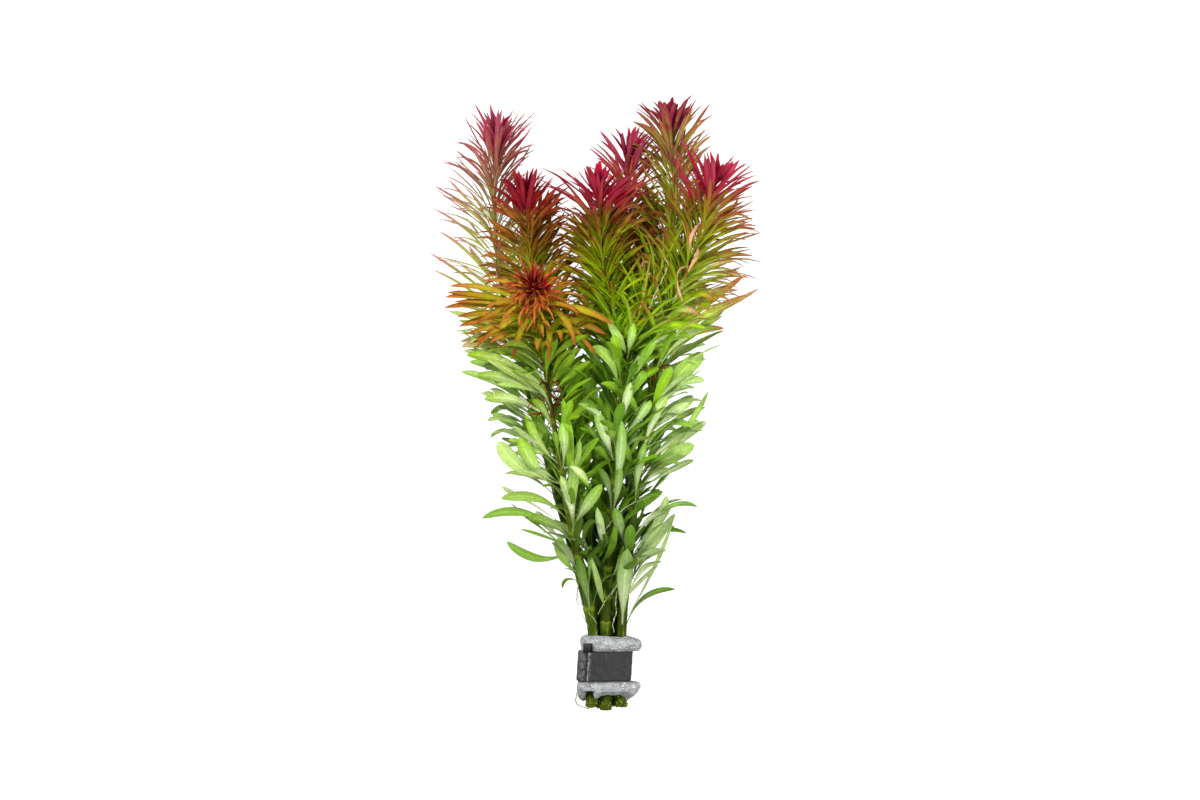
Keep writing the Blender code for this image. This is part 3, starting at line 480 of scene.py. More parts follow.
# Leaves bend up before the ground, from this height and this share of their length ahead
LOWEST_LEAF = 0.3
GROUND_LOOK = 1 / 8
FLOOR_GAP = 0.05
ROLLS_BY = 1 / 2.2
STEEPEST_RISE = 0.99
LEAST_LEVEL = 0.01

# The tone of a leaf, partly chance and partly painted light and shade by its place in the bunch: how much of
# it comes from the leaf's place, the shares of the bunch's half width over which it lightens as painted
# light, and the ages over which a crown's leaves lose their light tone
RIM_SHARE = 0.5
RIM_FROM = (0.25, 0.95)
RIM_AGES = (10, 26)


def section(steps):
    """How far out each point of a leaf's section is, from -1 to 1, and 1 for those on the underside."""
    across = np.linspace(-1, 1, steps + 1)
    under = np.concatenate([[0.5], np.zeros(steps - 1), [0.5], np.ones(steps - 1)])
    return np.concatenate([across, across[-2:0:-1]]), under


FINE_SECTION = section(2)
NARROW_SECTION = section(4)
BROAD_SECTION = section(6)


def half_widths(blade, width):
    """The blade's half width at each station."""
    rise = np.clip(STATIONS / blade.widest, 0, 1)
    rise = (rise * rise * (3 - 2 * rise)) ** blade.swell
    fall = np.clip((STATIONS - blade.widest) / (1 - blade.widest), 0, 1)
    tip = np.maximum(1 - fall**blade.keep, 0) ** blade.blunt
    return np.maximum((blade.joint + (1 - blade.joint) * rise) * tip * width / 2, LEAST_HALF_WIDTH)


def lay_leaf(base, along, out, leaf, sway, curl):
    """Points, sides and upper directions down a leaf that bends away from its stem and on to the ground."""
    side = along.cross(out).normalized()
    look = leaf.length * GROUND_LOOK
    point = base.copy()
    heading = along
    rows = []
    for index, part in enumerate(STATIONS):
        if index:
            point = point + heading * (leaf.length * (part - STATIONS[index - 1]))
        angle = math.radians(between(leaf.start, leaf.end, part) + curl * part**3)
        heading = along * math.cos(angle) + out * math.sin(angle) + side * (sway * part)
        heading.normalize()
        if point.z + heading.z * look < LOWEST_LEAF:
            heading.z = max((LOWEST_LEAF - point.z) / look, heading.z)
            level = math.sqrt(1 - min(heading.z**2, STEEPEST_RISE)) / max(heading.xy.length, LEAST_LEVEL)
            heading.x *= level
            heading.y *= level
        heading.normalize()
        turned = math.radians(leaf.roll * min(part / ROLLS_BY, 1))
        upper = Matrix.Rotation(turned, 3, heading) @ heading.cross(side)
        lying = 1 - blend(LOWEST_LEAF, LOWEST_LEAF + leaf.width, point.z)
        upper = upper.lerp(Vector((0, 0, 1 if upper.z >= 0 else -1)), lying).normalized()
        across = upper.cross(heading).normalized()
        rows.append((point, across, heading.cross(across)))
    return rows


def lay_single_leaf(base, tip, bow, turn, twist):
    """The same for a leaf that arches from its joint to a chosen tip, turned over by an angle."""
    middle = (base + tip) / 2 + bow * 2
    rows = []
    for part in STATIONS:
        point = base * (1 - part) ** 2 + middle * (2 * part * (1 - part)) + tip * part**2
        heading = ((middle - base) * (1 - part) + (tip - middle) * part).normalized()
        across = heading.cross(Vector((0, 0, 1))).normalized()
        across = Matrix.Rotation(math.radians(turn + twist * (part - 0.5)), 3, heading) @ across
        rows.append((point, across, across.cross(heading)))
    return rows


def limits_at(y):
    """How far left and right leaves may reach at this height."""
    heights, lefts, rights = zip(*LIMITS)
    return np.interp(y, heights, lefts), np.interp(y, heights, rights)


def strays(rows):
    """Whether a leaf's tip is outside the bunch."""
    tip = rows[-1][0]
    left, right = limits_at(tip.y)
    return not left < tip.x < right


def outwardness(rows):
    """How near a leaf's tip is to the outline of the bunch: 0 in its middle, and 1 at its edge."""
    tip = rows[-1][0]
    left, right = limits_at(tip.y)
    return blend(*RIM_FROM, abs(tip.x - (left + right) / 2) / ((right - left) / 2))


def blade_points(rows, width, blade, draw, shape):
    """A closed thin blade through the rows, cupped, waved and ribbed."""
    out, below = shape
    point, side, upper = (np.array(part)[:, None] for part in zip(*rows))
    half = half_widths(blade, width)[:, None]
    along = STATIONS[:, None]
    away = np.abs(out)[None]
    phase = np.where(out > 0, draw.uniform(0, math.tau), draw.uniform(0, math.tau))[None]
    waved = np.sin(math.tau * draw.uniform(*WAVES) * along + phase)
    height = blade.cup * half * away**2 + blade.wave * half * away * waved
    full = between(LEAST_THICKNESS_SHARE, 1, half / half.max())
    thick = LEAF_THICKNESS * (1 - away**2) * full
    rib = np.exp(-((away / RIB_WIDTH) ** 2)) * RIB_DEPTH * (1 - along) * min(width / FULL_RIB_LEAF_WIDTH, 1)
    height = height - rib * RIB_GROOVE
    height = height + np.where(below == 1, -thick / 2 - rib, np.where(below == 0, thick / 2, 0))
    made = point + side * (out[None, :, None] * half[..., None]) + upper * height[..., None]
    made[..., 2] += np.maximum(FLOOR_GAP - made[..., 2].min(axis=1), 0)[:, None]
    return made


def tube_faces(count, loop):
    """The corners and sizes of the faces of a closed tube through rings of points, with its two caps."""
    start = np.arange(count - 1)[:, None] * loop
    here = np.arange(loop)[None]
    after = (here + 1) % loop
    quads = np.stack([start + here, start + loop + here, start + loop + after, start + after], axis=-1)
    first, last = np.arange(loop), (count - 1) * loop + np.arange(loop)[::-1]
    return np.concatenate([quads.reshape(-1), first, last]), [4] * ((count - 1) * loop) + [loop, loop]


# The angle in degrees between two faces from which their edge is sharp
SHARP_FROM = 70


def mesh_from(name, points, corners, sizes):
    """A smooth mesh with sharp edges where its faces meet steeply, from points in millimetres."""
    mesh = bpy.data.meshes.new(name)
    places = points.reshape(-1, 3) * MM + np.array(LAYOUT)
    mesh.vertices.add(len(places))
    mesh.vertices.foreach_set("co", places.astype(np.float32).reshape(-1))
    mesh.loops.add(len(corners))
    mesh.loops.foreach_set("vertex_index", corners.astype(np.int32))
    mesh.polygons.add(len(sizes))
    starts = np.concatenate([[0], np.cumsum(sizes)[:-1]])
    mesh.polygons.foreach_set("loop_start", starts.astype(np.int32))
    mesh.update(calc_edges=True)
    mesh.shade_smooth()
    mesh.set_sharp_from_angle(angle=math.radians(SHARP_FROM))
    return mesh


def tube_mesh(name, rings):
    """A closed tube through rings of points, all with the same count."""
    rings = np.asarray(rings)
    return mesh_from(name, rings, *tube_faces(*rings.shape[:2]))


def mark(mesh, key, values):
    """Keeps a number for each point, which the material reads."""
    mesh.attributes.new(key, "FLOAT", "POINT").data.foreach_set("value", values)


def add_piece(name, mesh, material, slot, *nodes):
    """A piece on the bunch's one body, with its finish and the solids that it stands for."""
    piece = bpy.data.objects.new(name, mesh)
    bpy.context.scene.collection.objects.link(piece)
    mesh.materials.append(material)
    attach(piece, "root")
    if nodes:
        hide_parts(*nodes)
    return piece


class Foliage:
    """Leaves collected into one mesh, with what their material has to know at each point."""

    VALUES = ("along", "across", "under", "age", "tone_and_light")

    def __init__(self):
        self.points, self.corners, self.sizes = [], [], []
        self.values = {name: [] for name in self.VALUES}
        self.count = 0

    def add(self, rows, width, blade, age, draw, shape=BROAD_SECTION, rim=None):
        """One leaf, whose tone is lighter towards the outside of the bunch as painted light, or as rim says.
        """
        made = blade_points(rows, width, blade, draw, shape)
        corners, sizes = tube_faces(*made.shape[:2])
        self.points.append(made.reshape(-1, 3))
        self.corners.append(corners + self.count)
        self.sizes += sizes
        self.count += made.shape[0] * made.shape[1]
        # Painted light and shade: leaves nearer the rim of the bunch get a lighter tone, those inside a
        # darker one
        rim = max(outwardness(rows), 1 - blend(*RIM_AGES, age)) if rim is None else rim
        tone_and_light = between(draw.random(), rim, RIM_SHARE)
        out, below = shape
        every = np.ones(made.shape[:2])
        for name, value in zip(self.VALUES, (STATIONS[:, None], out[None], below[None], age / 100, tone_and_light)):
            self.values[name].append((every * value).reshape(-1))

    def build(self, name, material, slot, *nodes):
        points, corners = np.concatenate(self.points), np.concatenate(self.corners)
        mesh = mesh_from(name, points, corners, self.sizes)
        for key, parts in self.values.items():
            mark(mesh, key, np.concatenate(parts))
        add_piece(name, mesh, material, slot, *nodes)


# Materials


def linear(byte):
    """One byte of an sRGB colour as the linear value that a shader takes."""
    value = byte / 255
    return value / 12.92 if value <= 0.04045 else ((value + 0.055) / 1.055) ** 2.4


def colour(red, green, blue):
    return (linear(red), linear(green), linear(blue), 1.0)


class Surface:
    """A node material with short calls for the nodes that feed its Principled shader."""

    def __init__(self, name, **settings):
        self.material = bpy.data.materials.new(name)
        self.material.use_nodes = True
        self.nodes = self.material.node_tree.nodes
        self.links = self.material.node_tree.links
        self.shader = self.nodes["Principled BSDF"]
        self.set(**settings)

    def set(self, **settings):
        """Sets or links sockets of the shader, with _ for a space in their names."""
        for socket, value in settings.items():
            self.feed(self.shader.inputs[socket.replace("_", " ")], value)

    def feed(self, socket, value):
        if isinstance(value, bpy.types.NodeSocket):
            self.links.new(value, socket)
        else:
            socket.default_value = value

    def node(self, kind, inputs=(), **settings):
        node = self.nodes.new("ShaderNode" + kind)
        for key, value in settings.items():
            setattr(node, key, value)
        for key, value in dict(inputs).items():
            self.feed(node.inputs[key], value)
        return node

    def value(self, name):
        return self.node("Attribute", attribute_name=name).outputs["Fac"]

    def maths(self, operation, first, second=0.0, third=0.0):
        inputs = {0: first, 1: second, 2: third}
        return self.node("Math", inputs, operation=operation).outputs[0]

    def times(self, first, second):
        return self.maths("MULTIPLY", first, second)

    def plus(self, first, second):
        return self.maths("ADD", first, second)

    def scaled(self, value, factor, more):
        """The value times a factor, plus more."""
        return self.maths("MULTIPLY_ADD", value, factor, more)

    def spread(self, value, low, high, to_low=0.0, to_high=1.0):
        """The value moved from one range to another, and kept inside it."""
        inputs = {"Value": value, "From Min": low, "From Max": high, "To Min": to_low, "To Max": to_high}
        return self.node("MapRange", inputs).outputs[0]

    def mix(self, factor, first, second, way="MIX"):
        inputs = {0: factor, 6: first, 7: second}
        return self.node("Mix", inputs, data_type="RGBA", blend_type=way).outputs[2]

    def tinted(self, factor, shade, tint):
        """The shade multiplied by a tint, to the share that the factor says."""
        return self.mix(factor, shade, self.times_colour(shade, tint))

    def times_colour(self, shade, tint):
        return self.mix(1.0, shade, (*tint, 1), "MULTIPLY")

    def dabbed(self, shade, value, low, high, share, paint):
        """The shade under a paint that covers up to this share as the value goes from low to high."""
        return self.mix(self.spread(value, low, high, 0, share), shade, colour(*paint))

    def ramp(self, value, stops):
        """Colours over the distance from the growing point, given as an age."""
        node = self.node("ValToRGB", {"Fac": self.spread(value, 0, LEAF_AGES / 100)})
        elements = node.color_ramp.elements
        while len(elements) < len(stops):
            elements.new(0.5)
        for element, (distance, shade) in zip(elements, stops):
            element.position = distance / LEAF_AGES
            element.color = colour(*shade)
        return node.outputs["Color"]

    def places(self, stretch=(1, 1, 1)):
        """Places in the object, in metres, stretched along each axis."""
        here = self.node("TexCoord").outputs["Object"]
        return self.node("Mapping", {"Vector": here, "Scale": stretch}).outputs[0]

    def noise(self, size, detail=2.0, roughness=0.5, stretch=(1, 1, 1)):
        """Noise whose features have this size in millimetres."""
        inputs = {"Vector": self.places(stretch), "Scale": 1 / (size * MM)}
        inputs |= {"Detail": detail, "Roughness": roughness}
        return self.node("TexNoise", inputs).outputs["Fac"]

    def bump(self, height, depth, strength):
        """Bump from a height of 0 to 1, this deep in millimetres."""
        inputs = {"Height": height, "Distance": depth * MM, "Strength": strength}
        self.set(Normal=self.node("Bump", inputs).outputs[0])

    def translucent(self, tint, share):
        """Lets this share of the light through, tinted."""
        through = self.node("BsdfTranslucent", {"Color": tint})
        inputs = {0: share, 1: self.shader.outputs[0], 2: through.outputs[0]}
        self.feed(self.nodes["Material Output"].inputs["Surface"], self.node("MixShader", inputs).outputs[0])


# The range of distances from the growing point, in millimetres, that the leaf colours cover
LEAF_AGES = 180

# Looks of a leaf: how far light passes through it and how bright that is, how much the outer ones pale as
# painted light, how late along it its tip's colour starts, and the painted lightness of the innermost and
# the outermost
USUAL_LOOK = (0.42, 1.3, 0.4, -0.35, 1.1, 1.28)
LeafLook = namedtuple("LeafLook", "through glow fade late least most", defaults=USUAL_LOOK)
LEAF_SHINE = 0.07
# The pale colour that the outer leaves are painted towards, a painted light
LIT_RIM_PALE = (202, 212, 158)
INNER_SHADE_TINT = (0.92, 1.05, 0.4)
SPECK_TINT = (1.5, 1.45, 1.6)
VEIN_TINT = (1.4, 1.35, 1.4)
EDGE_SHADE_TINT = (0.5, 0.58, 0.4)
SIDE_VEINS = 9.0
VEIN_SLOPE = 2.2

# The heights, in metres, over which leaves inside the lower bunch darken as painted shade, and by how much
SHADE_PAINTED_FROM = -0.012
SHADE_PAINTED_TO = -0.055
DARKEST_PAINTED_SHADE = 0.4


def leaf_material(name, upper, under, tips, look=LeafLook()):
    """Leaves coloured by their age and flushed at their tips, with veins and a duller underside, and with
    painted
    light and shade: a sheen below, paler leaves at the rim of the bunch, darker ones inside it and a shaded
    edge.

    The lists of stops run over a leaf's distance from its growing point.
    """
    surface = Surface(name, Specular_IOR_Level=LEAF_SHINE)
    spread, times, noise_of = surface.spread, surface.times, surface.noise
    along, across, below, age, tone_and_light = (surface.value(key) for key in Foliage.VALUES)
    away = surface.maths("ABSOLUTE", across)
    blotches = spread(noise_of(3.5, 3.0), 0.25, 0.75, -0.08, 0.08)

    # The colour of the leaf's age, which is greener at its joint and uneven, and paler below, where its pale
    # colour also holds a painted sheen that is strongest towards the rim of the bunch
    base = times(spread(along, 0.45, 0, 0, 0.2), spread(age, 0.04, 0.2))
    uneven = times(blotches, spread(age, 0, 0.3, 0.2, 1))
    ripe = surface.plus(surface.plus(age, base), uneven)
    pale = times(below, spread(tone_and_light, 0.3, 0.7, 0.12, 1))
    shade = surface.mix(pale, surface.ramp(ripe, upper), surface.ramp(ripe, under))
    # Painted shade: leaves inside the bunch are tinted darker and greener
    inner = times(spread(tone_and_light, 0.05, 0.55, 0.95, 0), spread(age, 0.2, 0.5))
    shade = surface.tinted(inner, shade, INNER_SHADE_TINT)

    # The flush of its tip and edges, and the paling of the outer leaves as painted light at the rim of the
    # bunch
    tip = surface.scaled(tone_and_light, 0.25, spread(along, 0.4, 1.0, look.late, 0.9))
    tip = surface.scaled(away, 0.25, tip)
    tip = spread(surface.plus(tip, blotches), 0, 1)
    shade = surface.mix(tip, shade, surface.ramp(age, tips))
    lit_rim_mask = times(spread(tone_and_light, 0.45, 0.9, 0, look.fade), spread(age, 0.3, 0.8))
    shade = surface.mix(lit_rim_mask, shade, colour(*LIT_RIM_PALE))

    # Pale specks below, the midrib and side veins, and painted shade along the edge
    specks = times(spread(noise_of(0.7), 0.58, 0.72, 0, 0.5), below)
    shade = surface.tinted(specks, shade, SPECK_TINT)
    slant = surface.scaled(away, -VEIN_SLOPE, times(along, SIDE_VEINS))
    veins = surface.maths("SINE", times(slant, math.tau))
    veins = times(spread(veins, 0.75, 1.0), spread(away, 0.05, 0.3))
    midrib = spread(away, 0.2, 0.05)
    shade = surface.tinted(surface.scaled(midrib, 0.7, times(veins, 0.3)), shade, VEIN_TINT)
    shade = surface.tinted(times(spread(away, 0.7, 0.98), 0.4), shade, EDGE_SHADE_TINT)

    # Mottling, and painted light and shade: lighter towards the rim of the bunch and in its older leaves,
    # and darker, as painted shade, inside the lower bunch
    mottle = spread(noise_of(1.1, 4.0, 0.65), 0.2, 0.8, 0.7, 1.3)
    height = surface.node("SeparateXYZ", {0: surface.places()}).outputs["Y"]
    # Painted shade: leaves low in the bunch are darker
    painted_shade = spread(height, SHADE_PAINTED_FROM, SHADE_PAINTED_TO, 1.4, DARKEST_PAINTED_SHADE)
    least = surface.maths("MINIMUM", spread(age, 0.6, 1.0, look.least, 1.45), painted_shade)
    lightness = times(mottle, spread(tone_and_light, 0, 0.9, least, look.most))
    warmth = spread(surface.maths("FRACT", times(tone_and_light, 7.3)), 0, 1, 0.487, 0.503)
    inputs = {"Hue": warmth, "Value": lightness, "Color": shade}
    shade = surface.node("HueSaturation", inputs).outputs[0]

    gloss = spread(noise_of(1.4), 0.3, 0.7, 0.35, 0.55)
    surface.set(Base_Color=shade, Roughness=surface.scaled(below, 0.1, gloss))
    surface.bump(surface.scaled(noise_of(0.5), 0.35, times(veins, 0.5)), 0.12, 0.7)
    bright = surface.node("HueSaturation", {"Saturation": 1.0, "Value": look.glow, "Color": shade})
    surface.translucent(bright.outputs[0], look.through)
    return surface.material


# Colours of each shoot's leaves: how far down its reds reach, how late along a leaf they start, how far
# down the bronze leaves hold and how dull the green ones are. Then the bud, its crown, the crown's tips,
# the bronze leaves below it, the olive ones further down, and the tips of all those.
Flush = namedtuple("Flush", "reach late hold dull bud crown dusk bronze olive tip")
FLUSHES = {
    "1": Flush(
        1, -0.3, 28, 0.6,
        (100, 4, 40), (158, 20, 62), (156, 78, 88), (158, 104, 78), (150, 140, 84), (160, 98, 100),
    ),
    "2": Flush(
        0.55, -0.75, 10, 0,
        (66, 0, 8), (130, 6, 16), (184, 92, 50), (176, 124, 36), (150, 160, 22), (158, 88, 34),
    ),
    "3": Flush(
        0.95, -0.45, 30, 0,
        (84, 0, 14), (158, 4, 34), (150, 46, 44), (146, 102, 30), (144, 142, 16), (152, 84, 36),
    ),
    "4": Flush(
        1.15, -0.4, 22, 0,
        (112, 0, 26), (172, 8, 46), (156, 56, 66), (126, 94, 24), (138, 144, 14), (144, 88, 32),
    ),
    "5": Flush(
        1, -0.3, 66, 0,
        (96, 0, 28), (160, 16, 56), (150, 68, 80), (168, 106, 46), (160, 150, 22), (168, 90, 50),
    ),
    "6": Flush(
        0.9, -0.45, 26, 0.15,
        (88, 2, 24), (148, 12, 44), (146, 66, 72), (148, 128, 56), (158, 160, 52), (156, 100, 58),
    ),
    "7": Flush(
        1.15, -0.45, 22, 0.1,
        (114, 2, 32), (176, 14, 54), (162, 70, 82), (146, 118, 34), (150, 150, 26), (156, 92, 50),
    ),
}
DULL = (150, 146, 84)
GREENS = ((60, (152, 172, 14)), (105, (138, 176, 18)), (180, (112, 152, 16)))

# Distances from the growing point, in millimetres, at which the colours of a flush stand
CROWN_AT = 5
CROWN_TO = 12
BRONZE_AT = 19
OLIVE_AFTER = 14
GREEN_AFTER = 24
# The underside's pale colour, which also holds a painted sheen, and the ages over which it comes in
UNDERSIDE_AND_SHEEN = (206, 220, 150)
UNDERSIDE_AGES = (20, 100)


def shade_between(first, last, part):
    return tuple(between(*pair, part) for pair in zip(first, last))


def shoot_material(name):
    flush = FLUSHES[name]
    olive = max(BRONZE_AT * flush.reach, flush.hold)
    greens = tuple((place, shade_between(shade, DULL, flush.dull)) for place, shade in GREENS)
    rest = (
        (BRONZE_AT * flush.reach, flush.bronze), (olive + 1, flush.bronze),
        (olive + OLIVE_AFTER, flush.olive), (max(GREENS[0][0], olive + GREEN_AFTER), greens[0][1]),
        *greens[1:],
    )
    crown_at, crown_to = CROWN_AT * flush.reach, CROWN_TO * flush.reach
    upper = ((0, flush.bud), (crown_at, flush.crown), (crown_to, flush.crown), *rest)
    back = shade_between(flush.crown, flush.dusk, 0.6)
    under = []
    for place, shade in ((0, flush.bud), (crown_at, back), (crown_to, back), *rest):
        under.append((place, shade_between(shade, UNDERSIDE_AND_SHEEN, 0.06 + 0.36 * blend(*UNDERSIDE_AGES, place))))
    tips = ((0, flush.crown), (4, flush.dusk), (CROWN_TO, flush.dusk), (22, flush.tip), (80, flush.tip))
    tips = tuple((place * flush.reach, shade) for place, shade in tips) + greens[1:]
    return leaf_material("leaf_" + name, upper, under, tips, LeafLook(late=flush.late))


def plain_leaf_material(name, shades, look, under=None):
    """Leaves that have the same colours at their tips as elsewhere."""
    return leaf_material(name, shades, under or shades, shades, look)


BROAD_UPPER = ((0, (142, 172, 30)), (70, (124, 164, 30)), (120, (112, 156, 34)), (180, (92, 136, 28)))
# Pale colours of the undersides, which also hold a painted sheen
BROAD_UNDER_AND_SHEEN = ((0, (200, 212, 140)), (70, (194, 210, 150)), (120, (190, 208, 158)), (180, (182, 202, 156)))
BROAD_LOOK = LeafLook(through=0.26, glow=1.0, fade=0.5, least=0.78, most=1.1)
WITHERED_UPPER = ((0, (92, 44, 14)), (180, (70, 34, 10)))
WITHERED_UNDER = ((0, (112, 64, 28)), (180, (92, 48, 20)))
TORN_FIBRE = ((0, (62, 78, 6)), (120, (92, 112, 10)), (180, (140, 158, 50)))
DRIED_LEAF = ((0, (196, 146, 116)), (180, (194, 172, 108)))
WITHERED_LOOK = LeafLook(through=0.1, glow=1.0)
DRIED_LOOK = LeafLook(through=0.3, glow=1.1)
FIBRE_LOOK = LeafLook(through=0.15, glow=1.1, fade=0.0)

# Stems: the colours of their youngest parts, and of the rest
DARK_STEM = ((0, (110, 20, 36)), (14, (80, 40, 20)), (40, (84, 56, 18)), (70, (90, 88, 16)))
LIGHT_STEM = ((0, (130, 30, 50)), (14, (140, 96, 50)), (30, (168, 170, 84)), (70, (120, 132, 36)))
BROWN_STEM = ((0, (130, 30, 50)), (14, (150, 96, 62)), (36, (140, 120, 60)), (56, (48, 52, 18)))
OLD_STEM = ((100, (84, 96, 14)), (140, (66, 90, 10)), (170, (48, 70, 6)), (180, (46, 60, 4)))
STEM_FLUSH = (104, 50, 30)
STEM_GLOW = (1.4, 1.5, 0.5)


def stem_material(name, youngest):
    """Ridged stems: green at the cut end, flushed red in places, and with their own colours at the tip."""
    surface = Surface(name, Roughness=0.5, Specular_IOR_Level=0.06)
    spread, times = surface.spread, surface.times
    age, cut = surface.value("age"), surface.value("cut")
    shade = surface.ramp(age, youngest + OLD_STEM)
    flushed = times(spread(surface.noise(16.0), 0.5, 0.66, 0, 0.65), spread(age, 1.6, 1.2))
    shade = surface.mix(flushed, shade, colour(*STEM_FLUSH))
    streaks = surface.noise(0.9, 4.0, 0.6, (1, 0.1, 1))
    shade = surface.dabbed(shade, streaks, 0.45, 0.75, 0.75, (22, 34, 4))
    shade = surface.dabbed(shade, streaks, 0.4, 0.25, 0.6, (146, 164, 50))
    torn = times(cut, spread(surface.noise(0.8, 3.0, 0.6), 0.3, 0.6, 0.3, 1))
    shade = surface.mix(torn, shade, colour(52, 60, 4))
    flecks = times(cut, spread(surface.noise(0.5), 0.56, 0.66))
    shade = surface.mix(flecks, shade, colour(104, 122, 22))
    shade = surface.mix(times(surface.value("joint"), 0.4), shade, colour(136, 156, 30))
    surface.set(Base_Color=shade)
    surface.bump(streaks, 0.2, 0.8)
    surface.translucent(surface.times_colour(shade, STEM_GLOW), 0.12)
    return surface.material


def foam_material():
    """Open cells, darker in their hollows as painted shade, with grime in patches and painted sparks of
    light on their walls.
    """
    surface = Surface("foam", Roughness=0.95, Specular_IOR_Level=0.1)
    inputs = {"Vector": surface.places(), "Scale": 1 / (0.75 * MM)}
    cells = surface.node("TexVoronoi", inputs).outputs["Distance"]
    grime = surface.noise(3.0, 5.0, 0.65)
    shade = surface.dabbed(colour(164, 165, 166), grime, 0.36, 0.66, 1, (112, 113, 114))
    # Painted shade in the hollows of the cells
    shade = surface.dabbed(shade, cells, 0.3, 0.08, 0.55, (80, 81, 82))
    # Painted glints: white sparks where the cell walls would catch the light
    shade = surface.dabbed(shade, surface.noise(0.45, 1.0), 0.66, 0.72, 1, (244, 246, 246))
    surface.set(Base_Color=shade)
    surface.bump(cells, 0.4, 0.8)
    surface.translucent(shade, 0.15)
    return surface.material


def lead_material():
    """Dull dark metal, smudged and scratched, with a painted highlight at its outer end and paler on its
    covered turn, and with a painted shadow along the tab's edge.
    """
    surface = Surface("lead", Metallic=0.15, Specular_IOR_Level=0.22)
    smudges = surface.noise(4.0, 5.0, 0.7)
    fine = surface.noise(0.5, 3.0, 0.7)
    scratches = surface.noise(1.0, 3.0, 0.7, (1, 0.12, 1))
    shade = surface.dabbed(colour(20, 20, 21), smudges, 0.35, 0.7, 1, (36, 36, 37))
    shade = surface.dabbed(shade, fine, 0.4, 0.75, 0.35, (84, 84, 85))
    shade = surface.dabbed(shade, scratches, 0.64, 0.76, 0.3, (110, 110, 111))
    # Painted highlight at the strip's outer end, broken up in patches, and paler on the covered turn
    patchy_highlight = surface.spread(surface.noise(1.6, 3.0), 0.42, 0.66, 0.1, 0.8)
    shade = surface.mix(surface.times(surface.value("wear_and_highlight"), patchy_highlight), shade, colour(150, 150, 151))
    # Painted shadow: near black along the tab's right edge
    shade = surface.mix(surface.value("crease"), shade, colour(4, 4, 4))
    surface.set(Base_Color=shade, Roughness=surface.spread(smudges, 0.3, 0.7, 0.55, 0.75))
    surface.bump(surface.scaled(fine, 0.5, surface.times(scratches, 0.5)), 0.15, 0.6)
    return surface.material


def root_material():
    surface = Surface("root", Roughness=0.6)
    shade = surface.dabbed(colour(186, 196, 150), surface.noise(2.0, 3.0), 0.35, 0.65, 1, (112, 124, 66))
    surface.set(Base_Color=shade)
    surface.translucent(shade, 0.2)
    return surface.material


def floor_material():
    """A white sheet that is softly lit from below."""
    surface = Surface("white_floor", Base_Color=(0.2, 0.2, 0.2, 1), Roughness=0.9)
    surface.set(Emission_Color=(1, 1, 1, 1), Emission_Strength=1.0)
    return surface.material


# Leaves on the shoots

# How each shoot's leaves differ: the widths of its crown's, its young and its narrow leaves as shares of
# the usual, how many more its crown's whorls have, how far its young leaves curl back, how far those
# that face up hang over, by how many degrees its crown opens wider, and how much longer its bud is
Style = namedtuple("Style", "crown young narrow extra curl droop fan tall")
STYLES = {
    "1": Style(0.78, 0.66, 0.6, 3, 0, 0, 0, 1),
    "2": Style(0.42, 0.42, 1.2, 6, 80, 50, 0, 1),
    "3": Style(1.0, 0.75, 0.75, 2, 10, 0, 9, 1.18),
    "4": Style(1.12, 0.85, 0.76, 2, 8, 0, 22, 0.9),
    "5": Style(1.0, 0.75, 0.75, 1, 0, 0, 8, 1.5),
    "6": Style(1.3, 0.85, 0.66, 2, 0, 0, 0, 1),
    "7": Style(1.08, 0.8, 0.76, 2, 5, 0, 14, 0.98),
}

# Shares of the broad leaves that are left out, those that face up and the others, and the share of the
# narrow ones missing in front of each stem, with how far they face up. Then the heights or distances
# over which each starts, and over which the gap ends.
LOST_IN_FRONT = 0.75
LOST_ELSEWHERE = 0.15
LOST_BELOW_Y = (-10, -50)
PARTED = 0.7
PARTED_FACING = (0.5, 0.8)
PARTED_FROM = (14, 24)
PARTED_TO = (60, 90)

# Share of the leaves that lie with their upper side up, and the angles that leaves at the sides turn by
FACE_UP = 0.62
SIDE_TURN = (4, 62)
STAR_TURN_SHARE = 0.4

# Distances from the growing point over which the bud ends, the star of young leaves round it and the
# crown's fan start and end, blades and widths change, leaves start to curl and droop, and young ones
# start and end
BUD_ENDS = (3, 12)
STAR_ENDS = (9, 18)
FAN_STARTS = (0, 4)
FAN_ENDS = (12, 22)
TALL_ENDS = (3, 9)
CROWN_BLADE_ENDS = (5, 25)
CROWN_WIDTH_ENDS = (6, 15)
YOUNG_WIDTH_ENDS = (16, 34)
CURL_STARTS = (4, 20)
DROOP_STARTS = (6, 14)
YOUNG_STARTS = (2, 8)
YOUNG_ENDS = (14, 40)
AGE_STRAYS_FROM = (12, 24)

# Ranges of chance: curl in degrees and its share in young leaves, shares of length and width, lean at
# the joint and at the tip in the bud and below the star, sideways sway, and the share of its age that a
# leaf's colours have
CURL = (-22, 34)
CURL_SHARE = (0.3, 1.6)
STRETCH = (0.84, 1.16)
NARROW_STRETCH = (0.75, 1.15)
BROAD_STRETCH = (0.4, 0.9)
BUD_START = (-10, 22)
BUD_END = (-6, 26)
LOWER_START = (-14, 14)
LOWER_END = (-22, 16)
SWAY = 0.6
STAR_SWAY_SHARE = 0.4
AGE_SPREAD = (0.75, 1.4)

# How much shorter a leaf is for each degree that its style curls it and in the bud, how much longer in
# the star, and the degrees by which the star closes. Then the share of the fan that reaches a leaf's tip,
# and how much longer each of its degrees makes the leaf.
SHORTER_BY_CURL = 0.003
SHORTER_IN_BUD = 0.3
LONGER_IN_STAR = 0.14
STAR_CLOSES = 4
FAN_AT_TIP = 0.15
FAN_LENGTHENS = 0.011

LEAF_SEED_STEP = 1009


